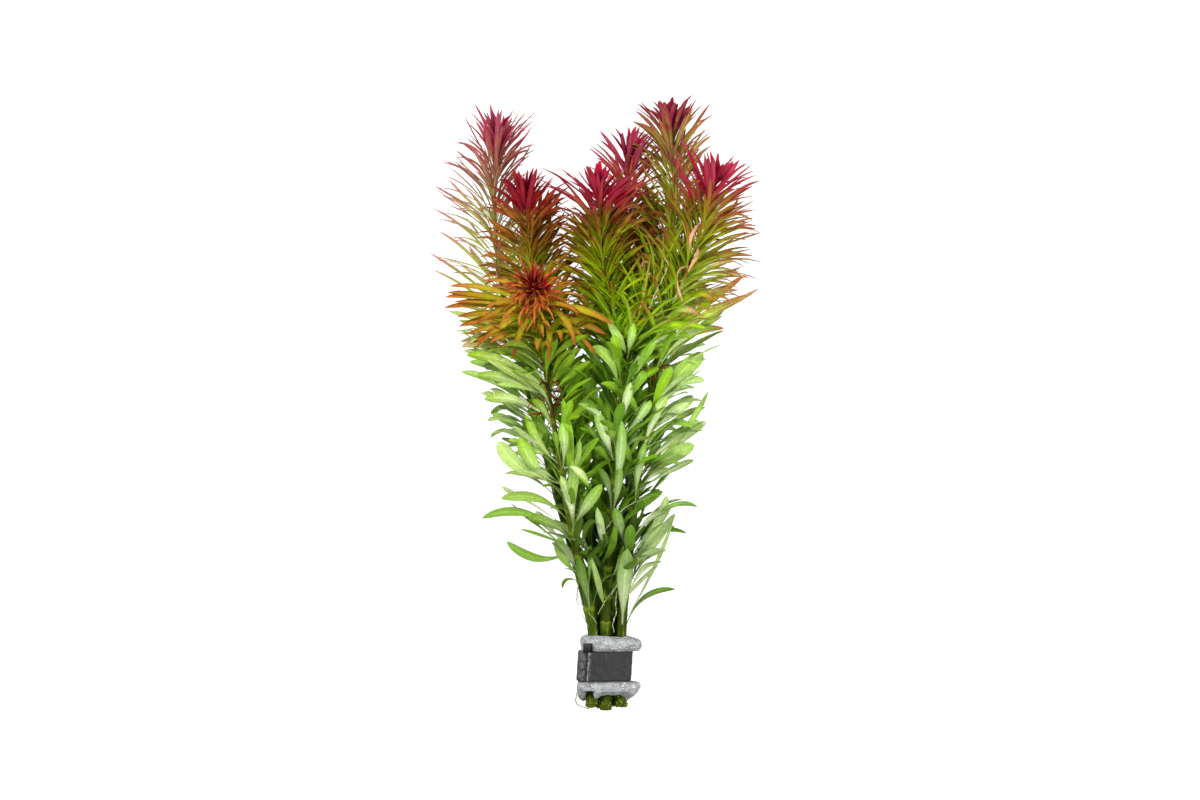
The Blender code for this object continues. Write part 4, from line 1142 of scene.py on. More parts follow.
def turned_to_view(out, draw):
    """The roll by which a leaf that points sideways shows one of its faces."""
    face = 1 if draw.random() < FACE_UP else -1
    return face * out.x * draw.uniform(*SIDE_TURN)


def missing_share(distance, y, facing):
    """The share of leaves left out here among those that face up this far."""
    lost = between(LOST_ELSEWHERE, LOST_IN_FRONT, facing) * blend(-LOST_BELOW_Y[0], -LOST_BELOW_Y[1], -y)
    parted = PARTED * blend(*PARTED_FACING, facing) * blend(*PARTED_FROM, distance)
    return max(lost, parted * (1 - blend(*PARTED_TO, distance)))


def grow_leaf(foliage, shoot, route, whorl, index, distance):
    """One leaf of a whorl, from inside its stem to its tip."""
    y = route.at(distance)[0].y
    leaf = leaf_plan(shoot, whorl, index, distance, y)
    draw = seeded("leaf", int(shoot.name), whorl * LEAF_SEED_STEP + index)
    base, along, out = rooted(shoot, route, distance, leaf.turn)
    broad, facing = breadth_at(y), max(out.z, 0.0)
    if index and draw.random() < missing_share(distance, y, facing):
        return
    style = STYLES[shoot.name]
    bud, star = 1 - blend(*BUD_ENDS, distance), 1 - blend(*STAR_ENDS, distance)
    fan = style.fan * blend(*FAN_STARTS, distance) * (1 - blend(*FAN_ENDS, distance))
    young = blend(*YOUNG_STARTS, distance) * (1 - blend(*YOUNG_ENDS, distance))
    slender = mixed(SLENDER_BLADE, BROAD_BLADE, draw.random())
    blade = mixed(mixed(CROWN_BLADE, NARROW_BLADE, blend(*CROWN_BLADE_ENDS, distance)), slender, broad)
    curl = draw.uniform(*CURL) * blend(*CURL_STARTS, distance)
    curl += style.curl * young * draw.uniform(*CURL_SHARE)
    curl += style.droop * facing * blend(*DROOP_STARTS, distance) * (1 - broad)
    stretch = (1 - style.curl * SHORTER_BY_CURL * young) * draw.uniform(*STRETCH)
    stretch *= 1 - SHORTER_IN_BUD * bud * draw.random()
    stretch += LONGER_IN_STAR * star * (1 - bud)
    stretch *= between(style.tall, 1, blend(*TALL_ENDS, distance)) * (1 + FAN_LENGTHENS * fan)
    share = between(style.crown, style.young, blend(*CROWN_WIDTH_ENDS, distance))
    share = between(share, style.narrow, blend(*YOUNG_WIDTH_ENDS, distance)) * draw.uniform(*NARROW_STRETCH)
    width = leaf.width * between(share, draw.uniform(*BROAD_STRETCH), broad)
    start = fan + bud * draw.uniform(*BUD_START) + (1 - star) * draw.uniform(*LOWER_START)
    end = FAN_AT_TIP * fan - STAR_CLOSES * star
    end += bud * draw.uniform(*BUD_END) + (1 - star) * draw.uniform(*LOWER_END)
    leaf = leaf._replace(
        length=leaf.length * stretch,
        start=leaf.start + start,
        end=leaf.end + end,
        roll=leaf.roll + turned_to_view(out, draw) * between(STAR_TURN_SHARE, 1, 1 - star),
    )
    sway = draw.uniform(-SWAY, SWAY) * between(1, STAR_SWAY_SHARE, star)
    rows = lay_leaf(base, along, out, leaf, sway, curl)
    if strays(rows):
        return
    age = distance * between(1, draw.uniform(*AGE_SPREAD), blend(*AGE_STRAYS_FROM, distance))
    foliage.add(rows, width, blade, age, draw, BROAD_SECTION if is_broad(y) else NARROW_SECTION)


# Ranges of chance in a spray: lean at the joint, sway, curl, and the most that its blades are broad
SPRAY_START = (22, 50)
SPRAY_SWAY = 0.5
SPRAY_CURL = (-30, 40)
SPRAY_BREADTH = 0.8


def grow_spray(narrow, broad, number, spray, shoot, route):
    """Leaves at chance places down one side of a shoot."""
    draw = seeded("spray", number)
    for _ in range(spray.count):
        distance = route.distance_at_y(draw.uniform(spray.low, spray.high))
        y = route.at(distance)[0].y
        turn = spray.turn + draw.uniform(-spray.stray, spray.stray)
        base, along, out = rooted(shoot, route, distance, turn)
        leaf = Leaf(
            turn=turn,
            length=draw.uniform(*spray.length),
            width=draw.uniform(*spray.width),
            start=draw.uniform(*SPRAY_START),
            end=draw.uniform(*spray.lean),
            roll=turned_to_view(out, draw) + draw.uniform(-ROLL_SPREAD, ROLL_SPREAD),
        )
        sway, curl = draw.uniform(-SPRAY_SWAY, SPRAY_SWAY), draw.uniform(*SPRAY_CURL)
        rows = lay_leaf(base, along, out, leaf, sway, curl)
        if strays(rows):
            continue
        slender = mixed(SLENDER_BLADE, BROAD_BLADE, draw.random() * SPRAY_BREADTH)
        age = distance * draw.uniform(*AGE_SPREAD)
        if is_broad(y):
            broad.add(rows, leaf.width, slender, age, draw)
        else:
            blade = mixed(NARROW_BLADE, slender, breadth_at(y))
            narrow.add(rows, leaf.width, blade, age, draw, NARROW_SECTION)


# The flat rosette of the front shoot: its red spikes, the curled leaves round them and the longer ones
# below, as count, length, width, lean at the joint, lean at the tip, curl, depth down the stem, age, and
# how far their middle leans from the stem towards the top of the bunch, then the widest turn from there
# that they grow at, how far they bend sideways, and how light their tone is
Layer = namedtuple("Layer", "count length width start end curl depth age lift turn sway rim")
ROSETTE = table(
    Layer,
    (84, (9, 17), (0.65, 1.1), (4, 56), (8, 74), (-25, 30), (0, 4), (1, 3.8), 0.9, 112, 0.8, (0, 0.5)),
    (124, (9, 18), (0.55, 1.1), (22, 70), (90, 136), (0, 200), (1, 9), (8.8, 12), 0.75, 94, 2.4, (0.2, 0.9)),
    (26, (11, 17), (0.9, 1.4), (50, 76), (96, 130), (60, 200), (6, 12), (11, 15), 0.4, 140, 1.8, (0.2, 0.9)),
    (36, (18, 26), (1.2, 1.9), (50, 76), (84, 116), (0, 90), (9, 17), (14, 26), 0.1, 180, 1.0, (0.2, 0.9)),
)
ROSETTE_SEED = 11
ROSETTE_ROLL = 50


def grow_rosette(foliage, route):
    """Many fine leaves all round the growing tip that faces the front."""
    for number, layer in enumerate(ROSETTE):
        draw = seeded("rosette", number, ROSETTE_SEED)
        for _ in range(layer.count):
            point, along, up, right = route.at(draw.uniform(*layer.depth))
            along = (along + Vector((0, layer.lift, 0))).normalized()
            out = away_from(right.cross(along), right, draw.uniform(-layer.turn, layer.turn))
            part = draw.random()
            start, end = between(*layer.start, part), between(*layer.end, part)
            length, roll = draw.uniform(*layer.length), draw.uniform(-ROSETTE_ROLL, ROSETTE_ROLL)
            leaf = Leaf(0, length, 1.0, start, end, roll)
            sway, curl = draw.uniform(-layer.sway, layer.sway), draw.uniform(*layer.curl)
            rows = lay_leaf(point, along, out, leaf, sway, curl)
            width, age = draw.uniform(*layer.width), draw.uniform(*layer.age)
            rim = draw.uniform(*layer.rim)
            foliage.add(rows, width, NARROW_BLADE, age, draw, FINE_SECTION, rim=rim)


def whorl_leaves(shoot, whorl, y):
    """How many leaves a whorl has."""
    if is_broad(y):
        return BROAD_COUNT + BROAD_EXTRA
    extra = STYLES[shoot.name].extra
    if whorl < CROWN_WHORLS:
        return NARROW_COUNT + extra
    if whorl < 2 * CROWN_WHORLS:
        return NARROW_COUNT + max(extra, NARROW_EXTRA)
    return NARROW_COUNT + NARROW_EXTRA


# Single leaves: how much wider they are than listed, the widths over which their blades turn broad, the
# widest that stays narrow, the age of the youngest, how far they twist, and the turn from which they
# count as turned over. Then how light they are, as painted light and shade: the narrow ones, those of the
# shoots at the back, darker as painted shade, those turned over, and the least and most of the rest.
SINGLE_WIDTH = 1.1
SINGLE_BLADE_WIDTHS = (3, 6)
WIDEST_NARROW = 3.2
YOUNGEST_SINGLE = 20
SINGLE_TWIST = 30
TURNED_OVER = 90
BACK_SHOOTS = ("3", "4", "5")
NARROW_RIM = 0.55
BACK_RIM = 0.15
TURNED_RIM = 0.6
SINGLE_RIM = (0.5, 0.65)


def single_rim(single, rows):
    """How light a broad single leaf is painted, as painted light and shade."""
    if single.shoot in BACK_SHOOTS:
        return BACK_RIM
    if single.turn > TURNED_OVER:
        return TURNED_RIM
    return min(max(outwardness(rows), SINGLE_RIM[0]), SINGLE_RIM[1])


def grow_single(narrow, broad, number, single, shoot, route):
    """A leaf from the list, from inside its stem to its own tip."""
    draw = seeded("single", number)
    distance = route.distance_at_y(single.joint_y)
    point, along = route.at(distance)[:2]
    tip = Vector(single.tip)
    out = tip - point
    out = (out - along * out.dot(along)).normalized()
    base = point + out * (stem_radius(shoot, route, distance) * ROOTED_AT)
    twist = draw.uniform(-SINGLE_TWIST, SINGLE_TWIST)
    rows = lay_single_leaf(base, tip, Vector(single.bow), single.turn, twist)
    width = single.width * SINGLE_WIDTH
    if single.width > WIDEST_NARROW or is_broad(single.joint_y):
        blade = mixed(SLENDER_BLADE, BROAD_BLADE, blend(*SINGLE_BLADE_WIDTHS, single.width))
        broad.add(rows, width, blade, distance, draw, rim=single_rim(single, rows))
    else:
        narrow.add(rows, width, NARROW_BLADE, max(distance, YOUNGEST_SINGLE), draw, rim=NARROW_RIM)


ROSETTE_SHOOT = "2"


def shoot_leaves(shoot, route, materials):
    """The shoot's crown, its narrow leaves and its broad leaves, each as one piece."""
    crown, narrow, broad = Foliage(), Foliage(), Foliage()
    for whorl, distance in enumerate(whorl_distances(route)):
        y = route.at(distance)[0].y
        kind = crown if whorl < CROWN_WHORLS else broad if is_broad(y) else narrow
        for index in range(whorl_leaves(shoot, whorl, y)):
            grow_leaf(kind, shoot, route, whorl, index, distance)
    for number, single in enumerate(SINGLE_LEAVES):
        if single.shoot == shoot.name:
            grow_single(narrow, broad, number, single, shoot, route)
    if shoot.name == ROSETTE_SHOOT:
        grow_rosette(crown, route)
    for number, spray in enumerate(SPRAYS):
        if spray.shoot == shoot.name:
            grow_spray(narrow, broad, number, spray, shoot, route)
    name, stem = f"shoot_{shoot.name}", "stem_" + shoot.name
    singles = [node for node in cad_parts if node.startswith(f"leaf_{shoot.name}_")]
    crown.build(f"crown_{shoot.name}_leaves", materials[shoot.name], "crown_leaf", "crown_" + shoot.name)
    narrow.build(name + "_narrow_leaves", materials[shoot.name], "stem_and_leaf", stem)
    broad.build(name + "_broad_leaves", materials["broad"], "broad_leaf", *(singles or [stem]))


# Stems: their sides, how slim their tips and full their feet are and over which distances, the rounding
# of the growing point, and their ridges, joints and unevenness
STEM_SIDES = 32
STEM_ANGLES = np.linspace(0, math.tau, STEM_SIDES, endpoint=False)
STEM_STEP = 1.0
SLIM_TIP = 0.62
FULL_FRONT = 1.06
FULL_BACK = 1.24
SLIM_REACH = (40, 165)
TIP_ROUNDING = 1.5
TIP_POINT = 0.25
TIP_OPENS = 0.5
RIDGES = 8
RIDGE_HEIGHT = 0.05
STEM_RIDGES = 1 + RIDGE_HEIGHT * np.cos(STEM_ANGLES * RIDGES)
JOINT_SWELL = 0.12
JOINT_REACH = 1.0
UNEVEN = 0.05
UNEVEN_STEP = 0.15

# Rings that close the cut end: share of the radius, and how far it is sunk in. Then how ragged it is, how
# far up and how finely the stem is worn, how it flares, and how far each ends past its path
CUT_RINGS = ((0.86, -0.15), (0.66, 0.25), (0.3, 0.1))
CUT_RAGGED = 1.0
CUT_REACH = 6.0
CUT_WEAR = 0.26
CUT_FLARE = 0.1
WEAR_STEP = 0.5
WEAR_ROUND = 3
CUT_BEYOND = {"1": 0.2, "2": -3.2, "3": 1.0, "4": 1.2, "5": 0.4, "6": -3.4, "7": -2.2}


def ring_round(point, up, right, radii):
    """Points all round a stem, one at each radius, from straight up."""
    angles = np.linspace(0, math.tau, len(radii), endpoint=False)
    around = np.cos(angles)[:, None] * np.array(up) + np.sin(angles)[:, None] * np.array(right)
    return np.array(point) + around * np.array(radii)[:, None]


def stem_ring(shoot, route, distance, swell, near_cut):
    """A ring of the stem there, swollen at a joint and with wear near the cut."""
    point, _, up, right = route.at(distance)
    full = FULL_FRONT if shoot.radius == FRONT_RADIUS else FULL_BACK
    radius = stem_radius(shoot, route, distance) * (1 + JOINT_SWELL * swell)
    radius *= between(SLIM_TIP, full, blend(*SLIM_REACH, distance))
    if distance < TIP_ROUNDING:
        radius *= TIP_POINT + TIP_OPENS * distance
    uneven = 1 + UNEVEN * noise.noise(Vector((distance * UNEVEN_STEP, float(shoot.name), 0)))
    wear_and_highlight = []
    for turn in STEM_ANGLES:
        place = Vector((distance * WEAR_STEP, WEAR_ROUND * math.cos(turn), WEAR_ROUND * math.sin(turn)))
        wear_and_highlight.append(noise.noise(place))
    uneven = uneven + near_cut * (CUT_FLARE + CUT_WEAR * np.array(wear_and_highlight))
    return ring_round(point, up, right, radius * STEM_RIDGES * uneven)


def stem_piece(shoot, route, material):
    """A ridged stem, a little swollen where its leaves grow, with a ragged cut end."""
    joints = np.array(whorl_distances(route))
    draw = seeded("stem", int(shoot.name))
    rings, marks = [], []
    steps = math.ceil(route.length / STEM_STEP)
    for step in range(steps + 1):
        distance = route.length * step / steps
        swell = float(np.exp(-(((joints - distance) / JOINT_REACH) ** 2)).max())
        near_cut = math.exp(-(((route.length - distance) / CUT_REACH) ** 2))
        rings.append(stem_ring(shoot, route, distance, swell, near_cut))
        marks.append((distance / 100, swell, near_cut))
    foot, along = route.at(route.length)[:2]
    beyond = along * CUT_BEYOND[shoot.name]
    foot, along, beyond = np.array(foot - beyond), np.array(along), np.array(beyond)
    ragged = np.array([draw.uniform(-CUT_RAGGED, CUT_RAGGED) for _ in STEM_ANGLES])
    edge = rings[-1] = rings[-1] - beyond + ragged[:, None] * along
    for share, depth in CUT_RINGS:
        rings.append(foot + (edge - foot) * share + along * depth)
        marks.append((marks[-1][0], 0.0, 1.0))
    mesh = tube_mesh(f"shoot_{shoot.name}_stem", rings)
    for key, values in zip(("age", "joint", "cut"), zip(*marks)):
        mark(mesh, key, np.repeat(values, STEM_SIDES))
    add_piece(mesh.name, mesh, material, "stem_and_leaf", "stem_" + shoot.name)


# Torn sheaths round the front stem: y of the upper edge, and the length. Then the rings of each, as the
# share of its length, the share of its radius, its age and how pale it is.
SHEATHS = ((-79.2, 5.0), (-98.8, 5.5))
SHEATH_RADIUS = 1.14
SHEATH_RINGS = (
    (0.1, 0.9, 1.5, 1), (0, 1, 1.3, 0.8), (0.25, 1, 1.5, 0.1), (0.7, 0.97, 1.6, 0), (1, 0.88, 1.7, 0),
)
SHEATH_TORN_TO = 0.2
SHEATH_RAGGED = 0.4
SHEATH_SEED = 3


def sheath_pieces(shoot, route, material):
    """What is left of the leaf bases round a stem, torn off along the upper edge."""
    for number, (top, length) in enumerate(SHEATHS):
        draw = seeded("sheath", number, SHEATH_SEED)
        start = route.distance_at_y(top)
        outside = stem_radius(shoot, route, start) * SHEATH_RADIUS
        rings = []
        for reach, share, _, _ in SHEATH_RINGS:
            point, along, up, right = route.at(start + reach * length)
            ring = ring_round(point, up, right, outside * share * STEM_RIDGES)
            if reach < SHEATH_TORN_TO:
                torn = np.array([draw.uniform(-SHEATH_RAGGED, SHEATH_RAGGED) for _ in STEM_ANGLES])
                ring = ring + torn[:, None] * np.array(along)
            rings.append(ring)
        mesh = tube_mesh(f"sheath_{number + 1}", rings)
        mark(mesh, "age", np.repeat([ring[2] for ring in SHEATH_RINGS], STEM_SIDES))
        mark(mesh, "joint", np.repeat([ring[3] for ring in SHEATH_RINGS], STEM_SIDES))
        add_piece(mesh.name, mesh, material, "stem_and_leaf")


# Foam wrap: y, left, right, low and high of its outside, from the top edge to the foot
WRAP_RINGS = (
    (-106.2, -4.6, 13.6, 3.2, 13.2), (-106.6, -6.6, 16.8, 1.6, 15.2), (-107.8, -7.6, 19.2, 0.6, 17.0),
    (-109.6, -7.8, 20.0, 0.35, 17.7), (-111.8, -7.4, 20.3, 0.35, 17.4), (-113.3, -7.2, 19.0, 0.6, 16.0),
    (-113.8, -7.3, 15.6, 1.0, 14.6), (-115.0, -7.3, 15.1, 1.3, 14.1), (-125.6, -7.3, 15.1, 1.3, 14.1),
    (-127.2, -7.6, 15.8, 1.0, 14.8), (-128.2, -8.0, 20.4, 0.5, 17.0), (-130.0, -8.3, 20.9, 0.35, 17.6),
    (-132.6, -7.9, 19.4, 0.5, 17.2), (-135.2, -6.8, 16.8, 1.2, 16.0), (-136.6, -5.2, 14.8, 2.6, 14.2),
)
WRAP_ROUNDNESS = 3.2

# The hole through it, from the foot up, and its middle and half width and height
HOLE_RINGS_Y = (-136.0, -132.0, -120.0, -109.0, -106.2)
HOLE_OVAL = (5.2, 8.2, 9.0, 4.75)
HOLE_ROUNDNESS = 6

# How its edges are out of square: the slope of the top, and how much is missing from the foot at each x
TOP_SLOPE = 0.06
SLOPE_FROM_X = -6
SLOPE_RUN = 15
TOP_EDGE_Y = (-112, -107)
FOOT_EDGE_Y = (-131, -136)
NOTCH_HEIGHTS = (9, 13)
FOOT_NOTCH = (
    (-9, 0), (-6, 1.5), (-4.8, 5.6), (-0.8, 5.6), (0.4, 1.4), (1.8, 1.4), (3.2, 3.2), (12, 3.4), (18, 0),
)

# Its mesh, and the sizes and depths of its lumps, pits and grain
WRAP_SIDES = 240
WRAP_SPAN_ROWS = 7
WRAP_TENSION = 0.35
LUMP = (2.6, 0.35)
PIT = (0.55, -0.352)
PIT_FROM = 0.05
GRAIN = (0.3, 0.112)
WRAP_LOWEST = 0.2


def skewed(x, y):
    return x + STRIP_SKEW * (y - STRIP_MIDDLE_Y)


def rounded_oblong(middle_x, middle_z, half_x, half_z, power):
    """Points all round an oblong with rounded corners."""
    turns = np.linspace(0, math.tau, WRAP_SIDES, endpoint=False)
    cosine, sine = np.cos(turns), np.sin(turns)
    x = middle_x + half_x * np.sign(cosine) * np.abs(cosine) ** (2 / power)
    z = middle_z + half_z * np.sign(sine) * np.abs(sine) ** (2 / power)
    return x, z


def lip_shift(x, y, z):
    """How far the collar's edges are out of square: its top slopes, and its foot is short in front."""
    top = blend(*TOP_EDGE_Y, y)
    foot = blend(-FOOT_EDGE_Y[0], -FOOT_EDGE_Y[1], -y)
    slope = -TOP_SLOPE * top * np.clip(x - SLOPE_FROM_X, 0, SLOPE_RUN)
    raised = np.array([blend(*NOTCH_HEIGHTS, up) for up in z])
    return slope + foot * raised * np.interp(x, *zip(*FOOT_NOTCH))


def collar_rings():
    """The collar's outside from its top to its foot, and back up through its hole, as smooth rings."""
    controls = []
    for y, left, right, low, high in WRAP_RINGS:
        oval = (left + right) / 2, (low + high) / 2, (right - left) / 2, (high - low) / 2
        controls.append((y, *oval, WRAP_ROUNDNESS))
    controls += [(y, *HOLE_OVAL, HOLE_ROUNDNESS) for y in HOLE_RINGS_Y]
    controls = np.array(controls)
    rings = []
    for index in range(len(controls)):
        before, start, end, after = (controls[(index + step) % len(controls)] for step in (-1, 0, 1, 2))
        leaving, arriving = (end - before) * WRAP_TENSION, (after - start) * WRAP_TENSION
        for t in np.linspace(0, 1, WRAP_SPAN_ROWS, endpoint=False):
            step = 3 * t**2 - 2 * t**3
            bend = leaving * (t**3 - 2 * t**2 + t) + arriving * (t**3 - t**2)
            y, *oblong = start * (1 - step) + end * step + bend
            x, z = rounded_oblong(*oblong)
            rings.append(np.stack([skewed(x, y), y + lip_shift(x, y, z), z], axis=1))
    return np.array(rings)


def foam_depth(point):
    """How far the foam's skin stands out from its smooth shape at a point."""
    place = Vector(point)
    pit = max(noise.noise(place / PIT[0]) - PIT_FROM, 0) * PIT[1]
    return noise.noise(place / LUMP[0]) * LUMP[1] + pit + noise.noise(place / GRAIN[0]) * GRAIN[1]


def foam_piece(material):
    """A soft collar, squeezed by the strip and swelling out above and below it."""
    points = collar_rings()
    rise = np.roll(points, -1, 0) - np.roll(points, 1, 0)
    around = np.roll(points, -1, 1) - np.roll(points, 1, 1)
    normal = np.cross(around, rise)
    normal /= np.maximum(np.linalg.norm(normal, axis=2, keepdims=True), 1e-9)
    depth = np.array([foam_depth(point) for point in points.reshape(-1, 3)])
    points = points + normal * depth.reshape(points.shape[:2])[..., None]
    points[..., 2] = np.maximum(points[..., 2], WRAP_LOWEST)
    count, loop = points.shape[:2]
    here = np.arange(count * loop).reshape(count, loop)
    beside, below = np.roll(here, -1, 1), np.roll(here, -1, 0)
    quads = np.stack([here, beside, np.roll(beside, -1, 0), below], axis=-1)
    mesh = mesh_from("foam_collar", points, quads.reshape(-1), [4] * (count * loop))
    piece = add_piece("foam_collar", mesh, material, "foam", "foam_wrap")


# The ribbon of lead: its mesh, how far its foot is raised, its rounded edges, its dents and how they and
# its edges wander, and how far the painted highlight reaches from its outer end, with the paler share on
# the covered turn
RIBBON_STEP = 0.5
RIBBON_ROWS = 34
BEND_STEPS = 12
FOOT_RAISED = 1.3
EDGE_HALF = 0.22
RIBBON_LOWEST = 0.02
DENT = (2.4, 0.16)
EDGE_WANDER = 0.22
EDGE_WANDER_STEP = 0.05
TOP_EDGE_SEED = 3.1
FOOT_EDGE_SEED = 9.7
HIGHLIGHT_REACH = 0.9
COVERED_PALER = 0.3
LAP_RUN = 3
LAP_SINK = 0.25


def strip_line():
    """The strip's middle line round the bundle, from its covered end to its outer end."""
    half = STRIP_THICKNESS / 2
    left, right = STRIP_LEFT_X + half + STRIP_BEND, STRIP_RIGHT_X - half - STRIP_BEND
    upper = STRIP_HEIGHT - half
    lapped = upper - STRIP_THICKNESS - STRIP_LAP_GAP
    low, high = half + STRIP_BEND, lapped - STRIP_BEND
    points = [(STRIP_START_X, lapped)]
    for x, z, first in ((left, high, 90), (left, low, 180), (right, low, 270), (right, high, 360)):
        for step in range(BEND_STEPS + 1):
            angle = math.radians(first + 90 * step / BEND_STEPS)
            points.append((x + STRIP_BEND * math.cos(angle), z + STRIP_BEND * math.sin(angle)))
    points += [(STRIP_LAP_X + LAP_RUN, upper - LAP_SINK), (STRIP_LAP_X, upper), (STRIP_END_X, upper)]
    points = np.array(points)
    reach = np.concatenate([[0], np.cumsum(np.linalg.norm(np.diff(points, axis=0), axis=1))])
    even = np.linspace(0, reach[-1], math.ceil(reach[-1] / RIBBON_STEP))
    return np.stack([np.interp(even, reach, points[:, axis]) for axis in (0, 1)], axis=1)


def edge_wander(number, seed):
    return EDGE_WANDER * noise.noise(Vector((number * EDGE_WANDER_STEP, seed, 0)))


def strip_piece(material):
    """A ribbon of soft lead, wound once round the foam with its ends lapped on top."""
    line = strip_line()
    run = np.gradient(line, axis=0)
    run /= np.linalg.norm(run, axis=1, keepdims=True)
    outward = np.stack([-run[:, 1], run[:, 0]], axis=1)
    outward *= np.sign(((line - line.mean(axis=0)) * outward).sum(axis=1, keepdims=True))
    face = np.linspace(0, 1, RIBBON_ROWS)
    rings = []
    for number, (point, normal) in enumerate(zip(line, outward)):
        top = STRIP_TOP_Y + edge_wander(number, TOP_EDGE_SEED)
        foot = STRIP_FOOT_Y + FOOT_RAISED + edge_wander(number, FOOT_EDGE_SEED)
        ring = []
        for side, order in ((1, face), (-1, face[::-1])):
            for part in order:
                y = between(foot, top, part)
                dent = DENT[1] * noise.noise(Vector((number * RIBBON_STEP, y, 0)) / DENT[0])
                half = EDGE_HALF if part in (0.0, 1.0) else STRIP_THICKNESS / 2
                x, z = point + normal * (dent + side * half)
                ring.append((skewed(x, y), y, max(z, RIBBON_LOWEST)))
        rings.append(ring)
    mesh = tube_mesh("lead_ribbon", rings)
    # A painted highlight that fades from the strip's outer end, and a paler share on the covered turn
    beyond = np.arange(len(line))[::-1] * RIBBON_STEP
    covered = [COVERED_PALER * blend(0, 1, STRIP_END_X - x) if z > STRIP_HEIGHT / 2 else 0 for x, z in line]
    wear_and_highlight = np.exp(-((beyond / HIGHLIGHT_REACH) ** 2)) + np.array(covered)
    mark(mesh, "wear_and_highlight", np.repeat(wear_and_highlight, len(rings[0])))
    add_piece("lead_ribbon", mesh, material, "lead", "lead_strip")


# The strip's inner end, which sticks out above it: y, z of its underside, and its thickness. Then its
# sides, the points across it, its dents, the wander and rounding of its edges, and its painted shadow.
TAB_LINE = (
    (-114.0, 14.6, 0.5), (-112.9, 16.6, 0.6), (-111.9, 17.9, 0.6), (-110.6, 18.3, 0.6),
    (-109.4, 18.1, 0.5),
)
TAB_SIDES = (-5.8, -1.5)
TAB_STEPS = 12
TAB_DENT = 0.12
TAB_DENT_SEED = 4.2
TAB_WANDER = 0.3
TAB_WANDER_STEP = 0.9
TAB_EDGE_SEED = 7.7
TAB_ROUNDING = 0.15
TAB_SHADOW_EDGE = (1.2, 0.8)


def tab_piece(material):
    """The strip's inner end, bent up over the foam."""
    left, right = TAB_SIDES
    steps = np.linspace(0, 1, TAB_STEPS)
    rings = []
    for y, low, thick in TAB_LINE:
        ring = []
        for side, order in ((0, steps), (1, steps[::-1])):
            for part in order:
                x = between(left, right, part)
                dent = TAB_DENT * noise.noise(Vector((x, y, TAB_DENT_SEED)))
                wander = TAB_WANDER * noise.noise(Vector((x * TAB_WANDER_STEP, TAB_EDGE_SEED, 0)))
                edge = wander if y == TAB_LINE[-1][0] else 0
                rounded = TAB_ROUNDING if part in (0.0, 1.0) else 0.0
                ring.append((x, y + edge, low + dent + between(rounded, thick - rounded, side)))
        rings.append(ring)
    mesh = tube_mesh("lead_tab", rings)
    # A painted shadow along the tab's right edge
    start, end = TAB_SHADOW_EDGE
    mark(mesh, "crease", [blend(right - start, right - end, x) for ring in rings for x, _, _ in ring])
    add_piece("lead_tab", mesh, material, "lead")


# Small things among the shoots

# Fine roots and threads: radius, then points along each
THREADS = (
    (0.15, (
        (0.9, -96.4, 15.0), (4.5, -90.0, 15.5), (8.8, -84.5, 15.5), (14.5, -81.0, 15.0), (20.2, -79.4, 14.0),
    )),
    (0.24, (
        (9.6, -86.0, 12.5), (8.9, -91.5, 13.6), (9.3, -96.0, 13.4), (7.7, -100.5, 13.6), (8.2, -104.8, 13.2),
    )),
    (0.16, ((-9.2, -87.0, 10.5), (-6.0, -92.5, 13.0), (-2.0, -97.5, 14.0), (0.4, -100.6, 13.8))),
    (0.18, ((-7.6, -94.5, 11.0), (-5.4, -98.2, 12.6), (-3.4, -102.8, 12.8))),
    (0.2, ((-9.6, -78.0, 13.0), (-8.2, -84.0, 11.5), (-8.8, -90.0, 9.5), (-7.4, -93.5, 9.0))),
    (0.16, ((2.0, -62.0, 25.0), (6.0, -55.0, 30.0), (13.0, -47.5, 31.0), (20.0, -44.0, 28.0))),
    (0.26, (
        (-7.9, -130.5, 4.0), (-9.0, -134.5, 2.0), (-8.9, -138.4, 0.5), (-5.0, -140.4, 0.4),
        (-2.6, -140.2, 1.6),
    )),
    (0.2, (
        (30.4, 64.4, 50.0), (32.0, 61.6, 50.5), (30.4, 56.6, 50.5), (26.0, 47.8, 50.0), (24.0, 42.0, 48.0),
    )),
    (0.22, ((44.4, 66.8, 50.0), (41.0, 58.0, 51.0), (36.8, 49.4, 50.5), (34.0, 44.0, 49.0))),
)
THREAD_SIDES = 8
THREAD_STEP = 0.4
THREAD_WANDER = 0.35
THREAD_WANDER_STEP = 0.5
THREAD_TIP = 0.4
THREAD_TAPER = 3
THREAD_LOWEST = 0.03


def thread_pieces(material):
    """Fine pale roots that have grown from the joints, and one that strays at the foot."""
    for number, (radius, path) in enumerate(THREADS):
        route = Route(path)
        steps = math.ceil(route.length / THREAD_STEP)
        rings = []
        for step in range(steps + 1):
            distance = route.length * step / steps
            point, _, up, right = route.at(distance)
            run = distance * THREAD_WANDER_STEP
            wander = Vector([noise.noise(Vector((run, number, axis))) for axis in range(3)])
            thin = radius * between(THREAD_TIP, 1, min(distance / THREAD_TAPER, 1))
            ring = ring_round(point + wander * THREAD_WANDER, up, right, [thin] * THREAD_SIDES)
            ring[:, 2] = np.maximum(ring[:, 2], THREAD_LOWEST)
            rings.append(ring)
        mesh = tube_mesh(f"root_{number + 1}", rings)
        add_piece(mesh.name, mesh, material, "stem_and_leaf")


